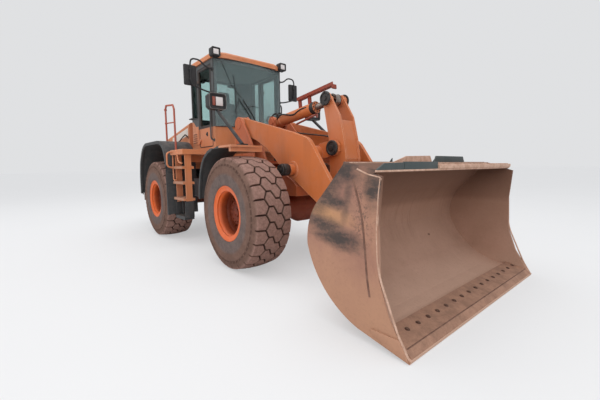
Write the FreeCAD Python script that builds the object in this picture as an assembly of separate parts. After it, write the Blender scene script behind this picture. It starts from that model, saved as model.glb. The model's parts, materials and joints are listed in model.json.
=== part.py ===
import FreeCAD, Part
import math
import os

# Wheel loader, articulated, parked with its bucket flat on the ground.
# Millimetres. +X is forward, +Y is the machine's left side, +Z is up.
# The origin is on the ground, midway between the bucket's edge and the counterweight.

Vec = FreeCAD.Vector

# Main sizes
wheelbase = 3200.0
track = 2190.0
tyre_diameter = 1600.0
tyre_width = 595.0
bucket_reach = 2885.0
rear_overhang = 2010.0
bucket_width = 2915.0
roof_height = 3510.0

# Clearances
running_fit = 0.05
seat_gap = 0.3
moving_gap = 10.0

# Places that follow from the main sizes
overall_length = bucket_reach + wheelbase + rear_overhang
front_x = overall_length / 2 - bucket_reach
rear_x = front_x - wheelbase
pivot_x = (front_x + rear_x) / 2
axle_z = tyre_diameter / 2
wheel_y = track / 2

# Slabs across the front frame, from the middle outwards, as distances from the centre plane
tower_inner_y = 440.0
tower_plate = 35.0
arm_y = 490.0
arm_plate = 60.0
arm_boss_grow = 12.0
tower_outer_y = 575.0
lift_cylinder_y = 700.0
lift_eye_width = 100.0

# Pin places in the side view, x from the front axle and z from the ground
arm_pin = (-920.0, 2180.0)
bucket_pin = (1515.0, 580.0)
lever_pin_place = (930.0, 1690.0)
lever_top = (765.0, 2385.0)
lever_bottom = (930.0, 930.0)
link_end = (1570.0, 840.0)
lift_base = (-1050.0, 1000.0)
lift_eye = (470.0, 1400.0)
tilt_base = (-600.0, 2220.0)
pin_radius = 50.0
link_pin_radius = 45.0


def at_front(place):
    """Turns a side-view place measured from the front axle into model x and z."""
    return (front_x + place[0], place[1])


def along(a, b, distance):
    """A place at a distance from a towards b."""
    length = math.hypot(b[0] - a[0], b[1] - a[1])
    return (a[0] + (b[0] - a[0]) * distance / length, a[1] + (b[1] - a[1]) * distance / length)


# Shape helpers
def box(x0, x1, y0, y1, z0, z1):
    """A block between two corners, in any order."""
    low = Vec(min(x0, x1), min(y0, y1), min(z0, z1))
    return Part.makeBox(abs(x1 - x0), abs(y1 - y0), abs(z1 - z0), low)


def rod(start, end, radius):
    """A round bar between two points."""
    a = Vec(*start)
    b = Vec(*end)
    return Part.makeCylinder(radius, (b - a).Length, a, b - a)


def cyl_y(place, radius, y0, y1):
    """A cylinder across the machine at a side-view place."""
    return Part.makeCylinder(radius, abs(y1 - y0), Vec(place[0], min(y0, y1), place[1]), Vec(0, 1, 0))


def cyl_z(x, y, radius, z0, z1):
    """An upright cylinder."""
    return Part.makeCylinder(radius, abs(z1 - z0), Vec(x, y, min(z0, z1)), Vec(0, 0, 1))


def sided_bar(start, end, radius, sides):
    """A bar with flat sides between two points."""
    a = Vec(*start)
    b = Vec(*end)
    direction = (b - a).normalize()
    helper = Vec(0, 0, 1) if abs(direction.z) < 0.9 else Vec(1, 0, 0)
    first = direction.cross(helper).normalize()
    second = direction.cross(first)
    points = []
    for i in range(sides):
        angle = 2 * math.pi * (i + 0.5) / sides
        points.append(a + first * (radius * math.cos(angle)) + second * (radius * math.sin(angle)))
    return Part.Face(Part.makePolygon(points + [points[0]])).extrude(b - a)


def tube_path(points, radius, sides=6):
    """A tube with flat sides along straight runs, mitred at its corners."""
    path = Part.makePolygon([Vec(*p) for p in points])
    a = Vec(*points[0])
    direction = (Vec(*points[1]) - a).normalize()
    helper = Vec(0, 0, 1) if abs(direction.z) < 0.9 else Vec(1, 0, 0)
    first = direction.cross(helper).normalize()
    second = direction.cross(first)
    ring = []
    for i in range(sides):
        angle = 2 * math.pi * (i + 0.5) / sides
        ring.append(a + first * (radius * math.cos(angle)) + second * (radius * math.sin(angle)))
    return path.makePipeShell([Part.makePolygon(ring + [ring[0]])], True, False, 1)


def outline_face(points):
    """A flat face from corner points (Vector, radius), with each corner rounded by its radius."""
    count = len(points)
    edges = []
    turns = []
    for i in range(count):
        corner, radius = points[i]
        if radius <= 0:
            turns.append((corner, corner, None))
            continue
        to_before = (points[i - 1][0] - corner).normalize()
        to_after = (points[(i + 1) % count][0] - corner).normalize()
        half = to_before.getAngle(to_after) / 2
        reach = radius / math.tan(half)
        middle = (to_before + to_after).normalize() * (radius / math.sin(half) - radius)
        turns.append((corner + to_before * reach, corner + to_after * reach, corner + middle))
    for i in range(count):
        enter, leave, middle = turns[i]
        if middle is not None:
            edges.append(Part.Arc(enter, middle, leave).toShape())
        following = turns[(i + 1) % count][0]
        if (following - leave).Length > 1e-6:
            edges.append(Part.LineSegment(leave, following).toShape())
    return Part.Face(Part.Wire(edges))


def plate_y(corners, y0, y1):
    """A plate standing along the machine: corners are (x, z) or (x, z, radius)."""
    low = min(y0, y1)
    points = [(Vec(c[0], low, c[1]), c[2] if len(c) > 2 else 0) for c in corners]
    return outline_face(points).extrude(Vec(0, abs(y1 - y0), 0))


def plate_z(corners, z0, z1):
    """A flat plate: corners are (x, y) or (x, y, radius)."""
    low = min(z0, z1)
    points = [(Vec(c[0], c[1], low), c[2] if len(c) > 2 else 0) for c in corners]
    return outline_face(points).extrude(Vec(0, 0, abs(z1 - z0)))


def slab_along(base, toward, s0, s1, h0, h1, y0, y1):
    """A straight bar in the side view, laid along the line from base towards another place."""
    direction = Vec(toward[0] - base[0], 0, toward[1] - base[1]).normalize()
    side = Vec(-direction.z, 0, direction.x)
    start = Vec(base[0], min(y0, y1), base[1])
    corners = [
        start + direction * s0 + side * h0,
        start + direction * s1 + side * h0,
        start + direction * s1 + side * h1,
        start + direction * s0 + side * h1,
    ]
    return Part.Face(Part.makePolygon(corners + [corners[0]])).extrude(Vec(0, abs(y1 - y0), 0))


def closed_solid(faces):
    """A solid from flat faces that meet along whole edges."""
    shell = Part.Shell(faces)
    shell.sewShape()
    solid = Part.Solid(shell)
    if solid.Volume < 0:
        solid.reverse()
    return solid


def ring_solid(profile, sides, phase=0.5):
    """A ring about the Y axis from a closed (y, radius) profile, with flat sides."""
    rings = []
    for y, radius in profile:
        ring = []
        for i in range(sides):
            angle = 2 * math.pi * (i + phase) / sides
            ring.append(Vec(radius * math.sin(angle), y, -radius * math.cos(angle)))
        rings.append(ring)
    faces = []
    count = len(profile)
    for k in range(count):
        one = rings[k]
        two = rings[(k + 1) % count]
        flat = profile[k][0] == profile[(k + 1) % count][0]
        r0 = profile[k][1]
        r1 = profile[(k + 1) % count][1]
        if r0 == 0 and r1 == 0:
            continue
        if flat:
            outer, inner = (one, two) if r0 > r1 else (two, one)
            face = Part.Face(Part.makePolygon(outer + [outer[0]]))
            if min(r0, r1) > 0:
                face = face.cut(Part.Face(Part.makePolygon(inner + [inner[0]])))
            faces += face.Faces
            continue
        for i in range(sides):
            j = (i + 1) % sides
            faces.append(Part.Face(Part.makePolygon([one[i], one[j], two[j], two[i], one[i]])))
    return closed_solid(faces)


def stacked(sections):
    """A solid through matching sections, each a list of corners."""
    faces = [Part.Face(Part.makePolygon(s + [s[0]])) for s in (sections[0], sections[-1])]
    for one, two in zip(sections[:-1], sections[1:]):
        for i in range(len(one)):
            j = (i + 1) % len(one)
            faces.append(Part.Face(Part.makePolygon([one[i], one[j], two[j], two[i], one[i]])))
    return closed_solid(faces)


def moved(shape, x, y, z):
    """The same shape, carried by a step."""
    result = shape.copy()
    result.translate(Vec(x, y, z))
    return result


def mirrored(shape):
    """The same shape on the other side of the machine."""
    return shape.mirror(Vec(0, 0, 0), Vec(0, 1, 0))


def fused(shapes):
    """One solid from shapes that overlap or share faces."""
    result = shapes[0]
    if len(shapes) > 1:
        result = result.fuse(shapes[1:])
    return result.removeSplitter()


def both_sides(make):
    """The pieces that a maker gives for the left (+1) and right (-1) side."""
    return [make(1), make(-1)]


# Wheels
rim_flange_radius = 390.0
bead_seat_radius = 318.0
rim_bore_radius = 298.0
rim_half_width = 278.0
rim_sides = 36
hub_sides = 20
flange_lip = 28.0
flange_slope = 18.0
dish_cone = 42.0
disc_depth = 215.0
disc_thickness = 28.0
hub_radius = 205.0
hub_cap_radius = 150.0
hub_reach = 60.0
hub_back_radius = 185.0
hub_inner_reach = 262.0
spindle_radius = 90.0
spindle_depth = 120.0
block_count = 25
block_depth = 34.0
groove_share = 0.17
tread_cover = 8.0
shoulder_outer = 262.0
bulge_radius = 600.0


def make_rim():
    """Rim about the Y axis, its dish facing -Y: flanges, barrel, sunk disc and hub."""
    outer = -rim_half_width
    disc = outer + disc_depth
    inner = rim_half_width
    barrel = ring_solid(
        [
            (outer, rim_flange_radius),
            (outer, rim_flange_radius - flange_lip),
            (outer + dish_cone, rim_bore_radius),
            (inner, rim_bore_radius),
            (inner, rim_flange_radius),
            (inner - flange_slope, bead_seat_radius),
            (outer + flange_slope, bead_seat_radius),
        ],
        rim_sides,
    )
    plate = ring_solid([(disc, 0), (disc, rim_bore_radius + 8), (disc + disc_thickness, rim_bore_radius + 8),
                        (disc + disc_thickness, 0)], rim_sides)
    hub = ring_solid([(disc - hub_reach, 0), (disc - hub_reach, hub_cap_radius), (disc, hub_radius),
                      (disc + 1, hub_radius), (disc + 1, 0)], hub_sides)
    back = ring_solid([(disc + 2, 0), (disc + 2, hub_back_radius), (hub_inner_reach, hub_back_radius),
                       (hub_inner_reach, 0)], hub_sides)
    bore = cyl_y((0, 0), spindle_radius + running_fit, hub_inner_reach - spindle_depth, hub_inner_reach + 1)
    return fused([barrel, plate, hub, back]).cut(bore)


def tread_ring(y0, y1, phase):
    """A toothed ring of tread blocks between two places across the tyre."""
    tip = tyre_diameter / 2
    root = tip - block_depth
    pitch = 2 * math.pi / block_count
    points = []
    share = 1 - 2 * groove_share

    def place(radius, angle):
        return Vec(radius * math.sin(angle), y0, -radius * math.cos(angle))

    for i in range(block_count):
        start = (i + phase) * pitch
        middle = start + pitch / 2
        following = start + pitch
        ends = [place(r, middle) + (place(r, following) - place(r, middle)) * share for r in (tip, root)]
        points += [place(root, start), place(tip, start), place(tip, middle)] + ends
    return Part.Face(Part.makePolygon(points + [points[0]])).extrude(Vec(0, y1 - y0, 0))


def make_tyre():
    """Tyre about the Y axis: bulging side walls, and tread blocks in two staggered rows."""
    root = tyre_diameter / 2 - block_depth
    half = tyre_width / 2
    bead = rim_flange_radius + 1
    carcass = ring_solid(
        [
            (-rim_half_width, bead),
            (-half, bulge_radius),
            (-shoulder_outer, root - tread_cover),
            (shoulder_outer, root - tread_cover),
            (half, bulge_radius),
            (rim_half_width, bead),
            (rim_half_width - flange_slope, bead_seat_radius + seat_gap),
            (-rim_half_width + flange_slope, bead_seat_radius + seat_gap),
        ],
        rim_sides,
    )
    rows = [tread_ring(-shoulder_outer, 0, 0.0), tread_ring(0, shoulder_outer, 0.5)]
    core = Part.makeCylinder(root - 60, tyre_width + 200, Vec(0, -half - 100, 0), Vec(0, 1, 0))
    blocks = [row.cut(core) for row in rows]
    return fused([carcass] + blocks)


def place_wheel(shape, axle_x, side):
    """A wheel piece, made with its dish to the right, on its axle and side (+1 left, -1 right)."""
    piece = shape if side < 0 else mirrored(shape)
    return moved(piece, axle_x, side * wheel_y, axle_z)


# Axles and drive shaft
axle_tube_radius = 140.0
axle_end_radius = 185.0
differential_radius = 250.0
axle_sides = 20
nose_radius = 110.0
nose_length = 420.0
hub_face_y = wheel_y - hub_inner_reach
shaft_radius = 45.0
joint_gap = 60.0


def make_axle(axle_x, nose_side):
    """Axle housing with its differential, a spindle into each hub, and half of the drive shaft."""
    end = hub_face_y - seat_gap
    profile = [
        (-end, 0),
        (-end, axle_end_radius),
        (-end + 80, axle_end_radius),
        (-end + 150, axle_tube_radius),
        (-340, axle_tube_radius),
        (-110, differential_radius),
        (110, differential_radius),
        (340, axle_tube_radius),
        (end - 150, axle_tube_radius),
        (end - 80, axle_end_radius),
        (end, axle_end_radius),
        (end, 0),
    ]
    housing = moved(ring_solid(profile, axle_sides), axle_x, 0, axle_z)
    spindle_end = hub_face_y + spindle_depth - 5
    pieces = [housing, cyl_y((axle_x, axle_z), spindle_radius, -spindle_end, spindle_end)]
    start = axle_x + nose_side * nose_length
    end_x = pivot_x - nose_side * joint_gap
    pieces.append(sided_bar((axle_x, 0, axle_z), (start, 0, axle_z), nose_radius, 12))
    pieces.append(sided_bar((start - nose_side, 0, axle_z), (start + nose_side * 35, 0, axle_z), 85, 12))
    pieces.append(sided_bar((start, 0, axle_z), (end_x, 0, axle_z), shaft_radius, 8))
    pieces.append(sided_bar((end_x - nose_side * 40, 0, axle_z), (end_x, 0, axle_z), 78, 12))
    return fused(pieces)


trunnion_radius = 125.0
trunnion_reach = 320.0


def make_rear_axle():
    """Rear axle housing with the round trunnions that its cradle holds."""
    trunnion = rod((rear_x - trunnion_reach, 0, axle_z), (rear_x + trunnion_reach, 0, axle_z), trunnion_radius)
    return fused([make_axle(rear_x, 1), trunnion])


# Steering cylinders: pins as x from the pivot, y from the centre plane
steer_rear = (-600.0, 400.0)
steer_front = (325.0, 320.0)
steer_z = 950.0
steer_tube_radius = 46.0
steer_rod_radius = 26.0
steer_eye_radius = 48.0
steer_eye_height = 100.0
steer_pin_radius = 26.0
steer_lug_gap = 7.0
steer_lug = 28.0
steer_tube_length = 575.0
steer_rod_inner = 300.0


def steer_lug_levels():
    """Low and high faces of the two lugs above and below a steering cylinder's eye."""
    low = steer_z - steer_eye_height / 2 - steer_lug_gap
    high = steer_z + steer_eye_height / 2 + steer_lug_gap
    return ((low - steer_lug, low), (high, high + steer_lug))


def steer_line(side):
    """A steering cylinder's rear pin, its direction and its length at rest."""
    base = Vec(pivot_x + steer_rear[0], side * steer_rear[1], steer_z)
    tip = Vec(pivot_x + steer_front[0], side * steer_front[1], steer_z)
    return base, (tip - base).normalize(), (tip - base).Length


def make_steer_tube(side):
    """A steering cylinder's tube, from its rear pin."""
    base, direction, _ = steer_line(side)
    half = steer_eye_height / 2
    eye = cyl_z(base.x, base.y, steer_eye_radius, steer_z - half, steer_z + half)
    tube = Part.makeCylinder(steer_tube_radius, steer_tube_length - 40, base + direction * 40, direction)
    start = base + direction * 75
    hollow = Part.makeCylinder(steer_tube_radius - 12, steer_tube_length - 75 - 40, start, direction)
    passage = Part.makeCylinder(steer_rod_radius + running_fit, steer_tube_length, start, direction)
    hole = cyl_z(base.x, base.y, steer_pin_radius + running_fit, steer_z - half - 1, steer_z + half + 1)
    return fused([eye, tube]).cut([hollow, passage, hole])


def make_steer_rod(side):
    """A steering cylinder's rod with its eye at the front frame."""
    base, direction, length = steer_line(side)
    inner = base + direction * steer_rod_inner
    tip = base + direction * length
    bar = Part.makeCylinder(steer_rod_radius, length - steer_rod_inner, inner, direction)
    half = steer_eye_height / 2
    return fused([bar, cyl_z(tip.x, tip.y, steer_eye_radius - 6, steer_z - half, steer_z + half)])


# Hinge between the frames
bulkhead = 35.0
front_bulkhead_x = 430.0
rear_bulkhead_x = 700.0
hinge_nose = 120.0
hinge_pin = 50.0
hinge_levels = (1345.0, 545.0)
hinge_plate = 70.0
clevis_plate = 60.0
hinge_gap = 5.0
frame_floor_z = 450.0
frame_top_z = 1560.0
front_lug_half = 290.0
rear_lug_half = 350.0
shaft_hole = 130.0


def hinge_lug(reach, half_width, z0, z1):
    """A flat hinge lug from a bulkhead, reach from the pivot (signed), to round the pivot pin."""
    tip = -math.copysign(1, reach)
    corners = [
        (pivot_x + reach, -half_width),
        (pivot_x + reach, half_width),
        (pivot_x - tip * 60, hinge_nose),
        (pivot_x + tip * 50, hinge_nose),
        (pivot_x + tip * hinge_nose, 50),
        (pivot_x + tip * hinge_nose, -50),
        (pivot_x + tip * 50, -hinge_nose),
        (pivot_x - tip * 60, -hinge_nose),
    ]
    return plate_z(corners, z0, z1)


tilt_lug_y = 105.0
tilt_lug = 40.0
lift_boss_radius = 58.0


def tower_outlines(rear):
    """Side outlines of the inner and outer tower plates, from the bulkhead's face."""
    px, pz = at_front(arm_pin)
    inner = [
        (rear, frame_floor_z),
        (rear, frame_top_z),
        (px - 122, frame_top_z + 200),
        (px - 122, pz + 60),
        (px - 60, pz + 122),
        (px + 60, pz + 122),
        (px + 130, pz + 60),
        (px + 400, 1950),
        (front_x - 300, 1500),
        (front_x + 330, 1260),
        (front_x + 450, 1160),
        (front_x + 450, 1010),
        (front_x - 350, 1010),
        (front_x - 600, 520),
        (front_x - 680, frame_floor_z),
    ]
    outer = [
        (rear, 860),
        (rear, frame_top_z),
        (px - 122, frame_top_z + 200),
        (px - 122, pz, 0),
        (px - 106, pz + 61),
        (px - 61, pz + 106),
        (px, pz + 122),
        (px + 61, pz + 106),
        (px + 106, pz + 61),
        (px + 390, 1840),
        (px + 480, 1500),
        (px + 560, 1080),
        (px + 520, 960),
        (px + 300, 860),
    ]
    return inner, outer


def make_front_frame():
    """Front frame: hinge lugs, bulkhead, tower plates for the arms, pins, axle seats, cross members."""
    px, pz = at_front(arm_pin)
    base = at_front(lift_base)
    tx, tz = at_front(tilt_base)
    rear = pivot_x + front_bulkhead_x
    inner_outline, outer_outline = tower_outlines(rear)
    outer_face = tower_outer_y + tower_plate
    pieces = []
    for side in (1, -1):
        pieces.append(plate_y(inner_outline, side * tower_inner_y, side * (tower_inner_y + tower_plate)))
        pieces.append(plate_y(outer_outline, side * tower_outer_y, side * outer_face))
        pieces.append(box(rear, px + 400, side * tower_inner_y, side * outer_face, 860, 900))
        pieces.append(box(rear, rear + 30, side * tower_inner_y, side * outer_face, 860, frame_top_z))
        pieces.append(cyl_y((px, pz), pin_radius, side * tower_inner_y, side * (outer_face + 12)))
        pieces.append(sided_bar((px, side * outer_face, pz), (px, side * (outer_face + 10), pz), 84, 16))
        eye_face = lift_cylinder_y - lift_eye_width / 2
        pieces.append(cyl_y(base, lift_boss_radius, side * tower_outer_y, side * (eye_face - 5)))
        pieces.append(cyl_y(base, pin_radius, side * tower_outer_y, side * (eye_face + lift_eye_width + 8)))
        pad_low = axle_z + axle_tube_radius * math.cos(math.pi / axle_sides) + seat_gap
        pieces.append(box(front_x - 130, front_x + 130, side * 400, side * (tower_inner_y + tower_plate),
                          pad_low, 1012))
    half = tower_inner_y
    pieces.append(box(rear, rear + bulkhead, -half, half, frame_floor_z, frame_top_z))
    pieces.append(box(rear, px + 330, -half, half, frame_top_z - 60, frame_top_z - 30))
    pieces.append(box(front_x - 350, front_x + 450, -half, half, 1056, 1086))
    pieces.append(box(front_x + 410, front_x + 450, -half, half, 1010, 1160))
    pieces.append(box(tx - 130, tx + 60, -half, half, tz - 400, tz - 240))
    for side in (1, -1):
        lug = [
            (tx - 110, tz - 260),
            (tx - 84, tz + 30),
            (tx - 40, tz + 84),
            (tx + 40, tz + 84),
            (tx + 84, tz + 30),
            (tx + 60, tz - 260),
        ]
        pieces.append(plate_y(lug, side * tilt_lug_y, side * (tilt_lug_y + tilt_lug)))
        cap = tilt_lug_y + tilt_lug
        pieces.append(sided_bar((tx, side * cap, tz), (tx, side * (cap + 20), tz), 62, 12))
    pieces.append(cyl_y((tx, tz), pin_radius, -tilt_lug_y - 5, tilt_lug_y + 5))
    for level in hinge_levels:
        below = level - hinge_gap
        above = level + hinge_plate + hinge_gap
        pieces.append(hinge_lug(front_bulkhead_x, front_lug_half, below - clevis_plate, below))
        pieces.append(hinge_lug(front_bulkhead_x, front_lug_half, above, above + clevis_plate))
        pieces.append(cyl_z(pivot_x, 0, hinge_pin, below - clevis_plate - 10, above + clevis_plate + 10))
    for side in (1, -1):
        for z0, z1 in steer_lug_levels():
            x = pivot_x + steer_front[0]
            y = side * steer_front[1]
            pieces.append(sided_bar((x, y, z0), (x, y, z1), steer_eye_radius, 12))
            pieces.append(box(x, rear, y - 45, y + 45, z0, z1))
    hole = sided_bar((rear - 10, 0, axle_z), (rear + bulkhead + 10, 0, axle_z), shaft_hole, 16)
    return fused(pieces).cut(hole)


rear_rail_y = 360.0
rear_rail_plate = 40.0
rear_rail_top = 1250.0
rear_rail_end = 1500.0
rear_front_top = 1440.0
axle_clear_z = 1010.0
cradle_x = 270.0
cradle_plate = 40.0
cab_floor_z = 1760.0


def make_rear_frame():
    """Rear frame: bulkhead, hinge lugs, two side rails, cross members, axle cradle, cab posts."""
    front = pivot_x - rear_bulkhead_x
    rail = [
        (front, frame_floor_z),
        (front, rear_front_top),
        (front - 250, rear_front_top),
        (front - 420, rear_rail_top),
        (rear_x - rear_rail_end, rear_rail_top),
        (rear_x - rear_rail_end, 700),
        (rear_x - 620, 700),
        (rear_x - 400, axle_clear_z),
        (rear_x + 400, axle_clear_z),
        (rear_x + 560, 620),
        (front - 180, frame_floor_z),
    ]
    half = rear_rail_y + rear_rail_plate
    pieces = []
    for side in (1, -1):
        pieces.append(plate_y(rail, side * rear_rail_y, side * half))
        for z0, z1 in steer_lug_levels():
            x = pivot_x + steer_rear[0]
            y = side * steer_rear[1]
            pieces.append(sided_bar((x, y, z0), (x, y, z1), steer_eye_radius, 12))
            pieces.append(box(x, front, y - 45, y + 45, z0, z1))
        low = steer_lug_levels()[0][0]
        high = steer_lug_levels()[1][1]
        pieces.append(cyl_z(pivot_x + steer_rear[0], side * steer_rear[1], steer_pin_radius, low, high))
        for x in (front - 20, pivot_x - 1150):
            pieces.append(box(x, x - 90, side * 300, side * half, rear_rail_top - 20, cab_floor_z))
    pieces.append(box(front, front - bulkhead, -half, half, frame_floor_z, rear_front_top))
    pieces.append(box(rear_x - rear_rail_end, rear_x - rear_rail_end + 40, -half, half, 700, rear_rail_top))
    pieces.append(box(rear_x + 620, front - 60, -half, half, 640, 670))
    pieces.append(box(rear_x - 900, rear_x - 860, -half, half, 760, rear_rail_top))
    for level in hinge_levels:
        pieces.append(hinge_lug(-rear_bulkhead_x, rear_lug_half, level, level + hinge_plate))
    for x in (rear_x + cradle_x, rear_x - cradle_x - cradle_plate):
        pieces.append(box(x, x + cradle_plate, -half, half, axle_z - 190, rear_rail_top))
    hole = sided_bar((front - bulkhead - 10, 0, axle_z), (front + 10, 0, axle_z), shaft_hole, 16)
    seat = rod((rear_x - 330, 0, axle_z), (rear_x + 330, 0, axle_z), trunnion_radius + seat_gap)
    hinge = cyl_z(pivot_x, 0, hinge_pin + running_fit, frame_floor_z, rear_front_top)
    return fused(pieces).cut([hole, seat, hinge])


# Cylinders in the side view
eye_radius = 80.0
gland_grow = 14.0
gland_length = 80.0
tube_wall = 16.0
lift_rod_radius = 42.0
lift_tube_radius = 62.0
lift_tube_length = 1430.0
lift_rod_inner = 230.0
lift_rod_cap = 15.0
tilt_rod_radius = 48.0
tilt_tube_radius = 74.0
tilt_tube_length = 1000.0
tilt_rod_inner = 560.0
tilt_eye_width = 110.0
tilt_base_width = 190.0


def make_tube(base, toward, length, radius, y, eye_width, rod_radius):
    """A cylinder's tube with its base eye and end gland, bored for its rod."""
    half = eye_width / 2
    start = along(base, toward, 70)
    end = along(base, toward, length)
    gland = along(base, toward, length - gland_length)
    body = fused([
        cyl_y(base, eye_radius, y - half, y + half),
        rod((start[0], y, start[1]), (end[0], y, end[1]), radius),
        rod((gland[0], y, gland[1]), (end[0], y, end[1]), radius + gland_grow),
    ])
    bore_start = along(base, toward, 125)
    bore_end = along(base, toward, length - 60)
    mouth = along(base, toward, length + 10)
    hollow = rod((bore_start[0], y, bore_start[1]), (bore_end[0], y, bore_end[1]), radius - tube_wall)
    passage = rod((bore_start[0], y, bore_start[1]), (mouth[0], y, mouth[1]), rod_radius + running_fit)
    hole = cyl_y(base, pin_radius + running_fit, y - half - 1, y + half + 1)
    return body.cut([hollow, passage, hole])


def make_rod(base, eye_place, inner_distance, y, eye_width, rod_radius, cap):
    """A cylinder's rod with its eye, reaching back into the tube; cap is the pin's signed stub."""
    half = eye_width / 2
    inner = along(base, eye_place, inner_distance)
    pieces = [
        rod((inner[0], y, inner[1]), (eye_place[0], y, eye_place[1]), rod_radius),
        cyl_y(eye_place, eye_radius, y - half, y + half),
    ]
    if cap != 0:
        face = y + math.copysign(half, cap)
        pieces.append(cyl_y(eye_place, pin_radius, face - cap, face + cap))
    return fused(pieces)


# Lift arms and linkage
cross_tube_radius = 125.0
cross_tube_place = (600.0, 1615.0)
lever_y = 120.0
lever_plate = 32.0
lever_bearing_y = 165.0
lever_bearing = 40.0
lever_cap = 20.0
cap_radius = 84.0
top_cap_radius = 74.0
link_width = 90.0
link_far_radius = 70.0
arm_boss_radius = 118.0


def make_lift_arms():
    """Both lift arms with their cross tube, bosses and the bearing plates of the tilt lever."""
    px, pz = at_front(arm_pin)
    bx, bz = at_front(bucket_pin)
    gx, gz = at_front(lift_eye)
    vx, vz = at_front(lever_pin_place)
    tx, tz = at_front(cross_tube_place)
    outline = [
        (px, pz - arm_boss_radius),
        (px - 60, pz),
        (px, pz + arm_boss_radius),
        (front_x + 440, 1935, 300),
        (front_x + 800, 1820, 260),
        (front_x + 1230, 1230, 500),
        (bx + 108, bz + 30),
        (bx, bz),
        (bx - 95, bz - 65),
        (front_x + 980, 950, 240),
        (front_x + 560, 1215),
        (gx - 90, gz - 80),
        (front_x + 120, 1500),
        (front_x - 160, 1730),
        (front_x - 440, 1870),
        (front_x - 700, 1965),
    ]
    eye_face = lift_cylinder_y - lift_eye_width / 2 - moving_gap
    pieces = []
    for side in (1, -1):
        y0 = side * arm_y
        y1 = side * (arm_y + arm_plate)
        grow = side * arm_boss_grow
        pieces.append(plate_y(outline, y0, y1))
        for place in ((px, pz), (bx, bz)):
            pieces.append(cyl_y(place, arm_boss_radius, y0, y1))
            pieces.append(cyl_y(place, arm_boss_radius - 16, y0 - grow, y1 + grow))
        pieces.append(cyl_y((gx, gz), eye_radius, y1, side * eye_face))
        pieces.append(cyl_y((gx, gz), eye_radius + 15, y0, y1))
        bearing = [
            (tx - 40, tz - 100),
            (tx - 60, tz + 60),
            (tx + 60, tz + 150),
            (vx - 40, vz + 100),
            (vx + 45, vz + 100),
            (vx + 100, vz + 40),
            (vx + 100, vz - 45),
            (vx + 45, vz - 100),
            (vx - 60, vz - 110),
        ]
        pieces.append(plate_y(bearing, side * lever_bearing_y, side * (lever_bearing_y + lever_bearing)))
    pieces.append(cyl_y((tx, tz), cross_tube_radius, -arm_y, arm_y))
    holes = [
        cyl_y((px, pz), pin_radius + running_fit, -700, 700),
        cyl_y((bx, bz), pin_radius + running_fit, -700, 700),
        cyl_y((vx, vz), pin_radius + running_fit, -300, 300),
    ]
    return fused(pieces).cut(holes)


def make_lever_pin():
    """The tilt lever's pivot pin with a round cap at each end."""
    place = at_front(lever_pin_place)
    end = lever_bearing_y + lever_bearing + 3
    pieces = [cyl_y(place, pin_radius, -end, end)]
    for side in (1, -1):
        pieces.append(cyl_y(place, cap_radius, side * end, side * (end + lever_cap)))
    return fused(pieces)


def make_tilt_lever():
    """The tilt lever: two plates, a hub between them, a front web and stub pins at the top."""
    vx, vz = at_front(lever_pin_place)
    hx, hz = at_front(lever_top)
    ex, ez = at_front(lever_bottom)
    outline = [
        (hx - 84, hz - 20),
        (hx - 70, hz + 50),
        (hx - 20, hz + 84),
        (hx + 30, hz + 80),
        (vx + 70, vz + 440),
        (vx + 150, vz + 120),
        (vx + 190, vz - 150),
        (ex + 92, ez - 20),
        (ex + 60, ez - 75),
        (ex - 50, ez - 80),
        (ex - 92, ez - 20),
        (vx - 120, vz - 120),
        (vx - 130, vz + 120),
    ]
    stub = tilt_eye_width / 2 + moving_gap
    outer = lever_y + lever_plate
    pieces = []
    for side in (1, -1):
        pieces.append(plate_y(outline, side * lever_y, side * outer))
        pieces.append(cyl_y((hx, hz), link_pin_radius, side * stub, side * outer))
        pieces.append(cyl_y((hx, hz), top_cap_radius, side * outer, side * (outer + 34)))
    pieces.append(cyl_y((vx, vz), 85, -lever_y, lever_y))
    web = [(vx + 110, vz - 420), (vx + 176, vz - 150), (vx + 136, vz + 120), (vx + 70, vz + 380)]
    for a, b in zip(web[:-1], web[1:]):
        length = math.hypot(b[0] - a[0], b[1] - a[1])
        pieces.append(slab_along(a, b, 0, length, -2, 26, -lever_y, lever_y))
    holes = [
        cyl_y((vx, vz), pin_radius + running_fit, -300, 300),
        cyl_y((ex, ez), link_pin_radius + running_fit, -300, 300),
    ]
    return fused(pieces).cut(holes)


def make_link_pin():
    """The pin that joins the lever's foot to the link."""
    end = lever_y + lever_plate + 15
    return cyl_y(at_front(lever_bottom), link_pin_radius, -end, end)


def make_tilt_link():
    """The link from the lever's foot to the bucket, with an eye at each end."""
    a = at_front(lever_bottom)
    b = at_front(link_end)
    half = link_width / 2
    length = math.hypot(b[0] - a[0], b[1] - a[1])
    pieces = [
        cyl_y(a, 86, -half, half),
        cyl_y(b, link_far_radius, -half, half),
        slab_along(a, b, 0, length, -54, 54, -half, half),
    ]
    return fused(pieces).cut(cyl_y(a, link_pin_radius + running_fit, -half - 1, half + 1))


# Bucket: side-view places from the front axle
bucket_wall = 25.0
bucket_side = 32.0
side_edge = 14.0
edge_thickness = 40.0
edge_length = 300.0
ear_gap = 8.0
ear_plate = 40.0
bucket_back = [
    (2885.0, 0.0, 0.19, 0.98),
    (2400.0, 95.0, 0.19, 0.98),
    (1985.0, 358.0, 0.73, 0.68),
    (1790.0, 710.0, 0.99, 0.10),
    (1828.0, 960.0, 0.92, -0.39),
    (1975.0, 1165.0, 0.74, -0.67),
    (2260.0, 1470.0, 0.74, -0.67),
]
side_front_edge = [
    (2620.0, 1355.0),
    (2590.0, 1000.0),
    (2610.0, 560.0),
    (2700.0, 300.0),
    (2885.0, 0.0),
]


def bucket_curve(inset):
    """Points down the bucket's back and floor in the side view, moved inwards by inset."""
    return [Vec(front_x + x + nx * inset, 0, z + nz * inset) for x, z, nx, nz in bucket_back]


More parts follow.
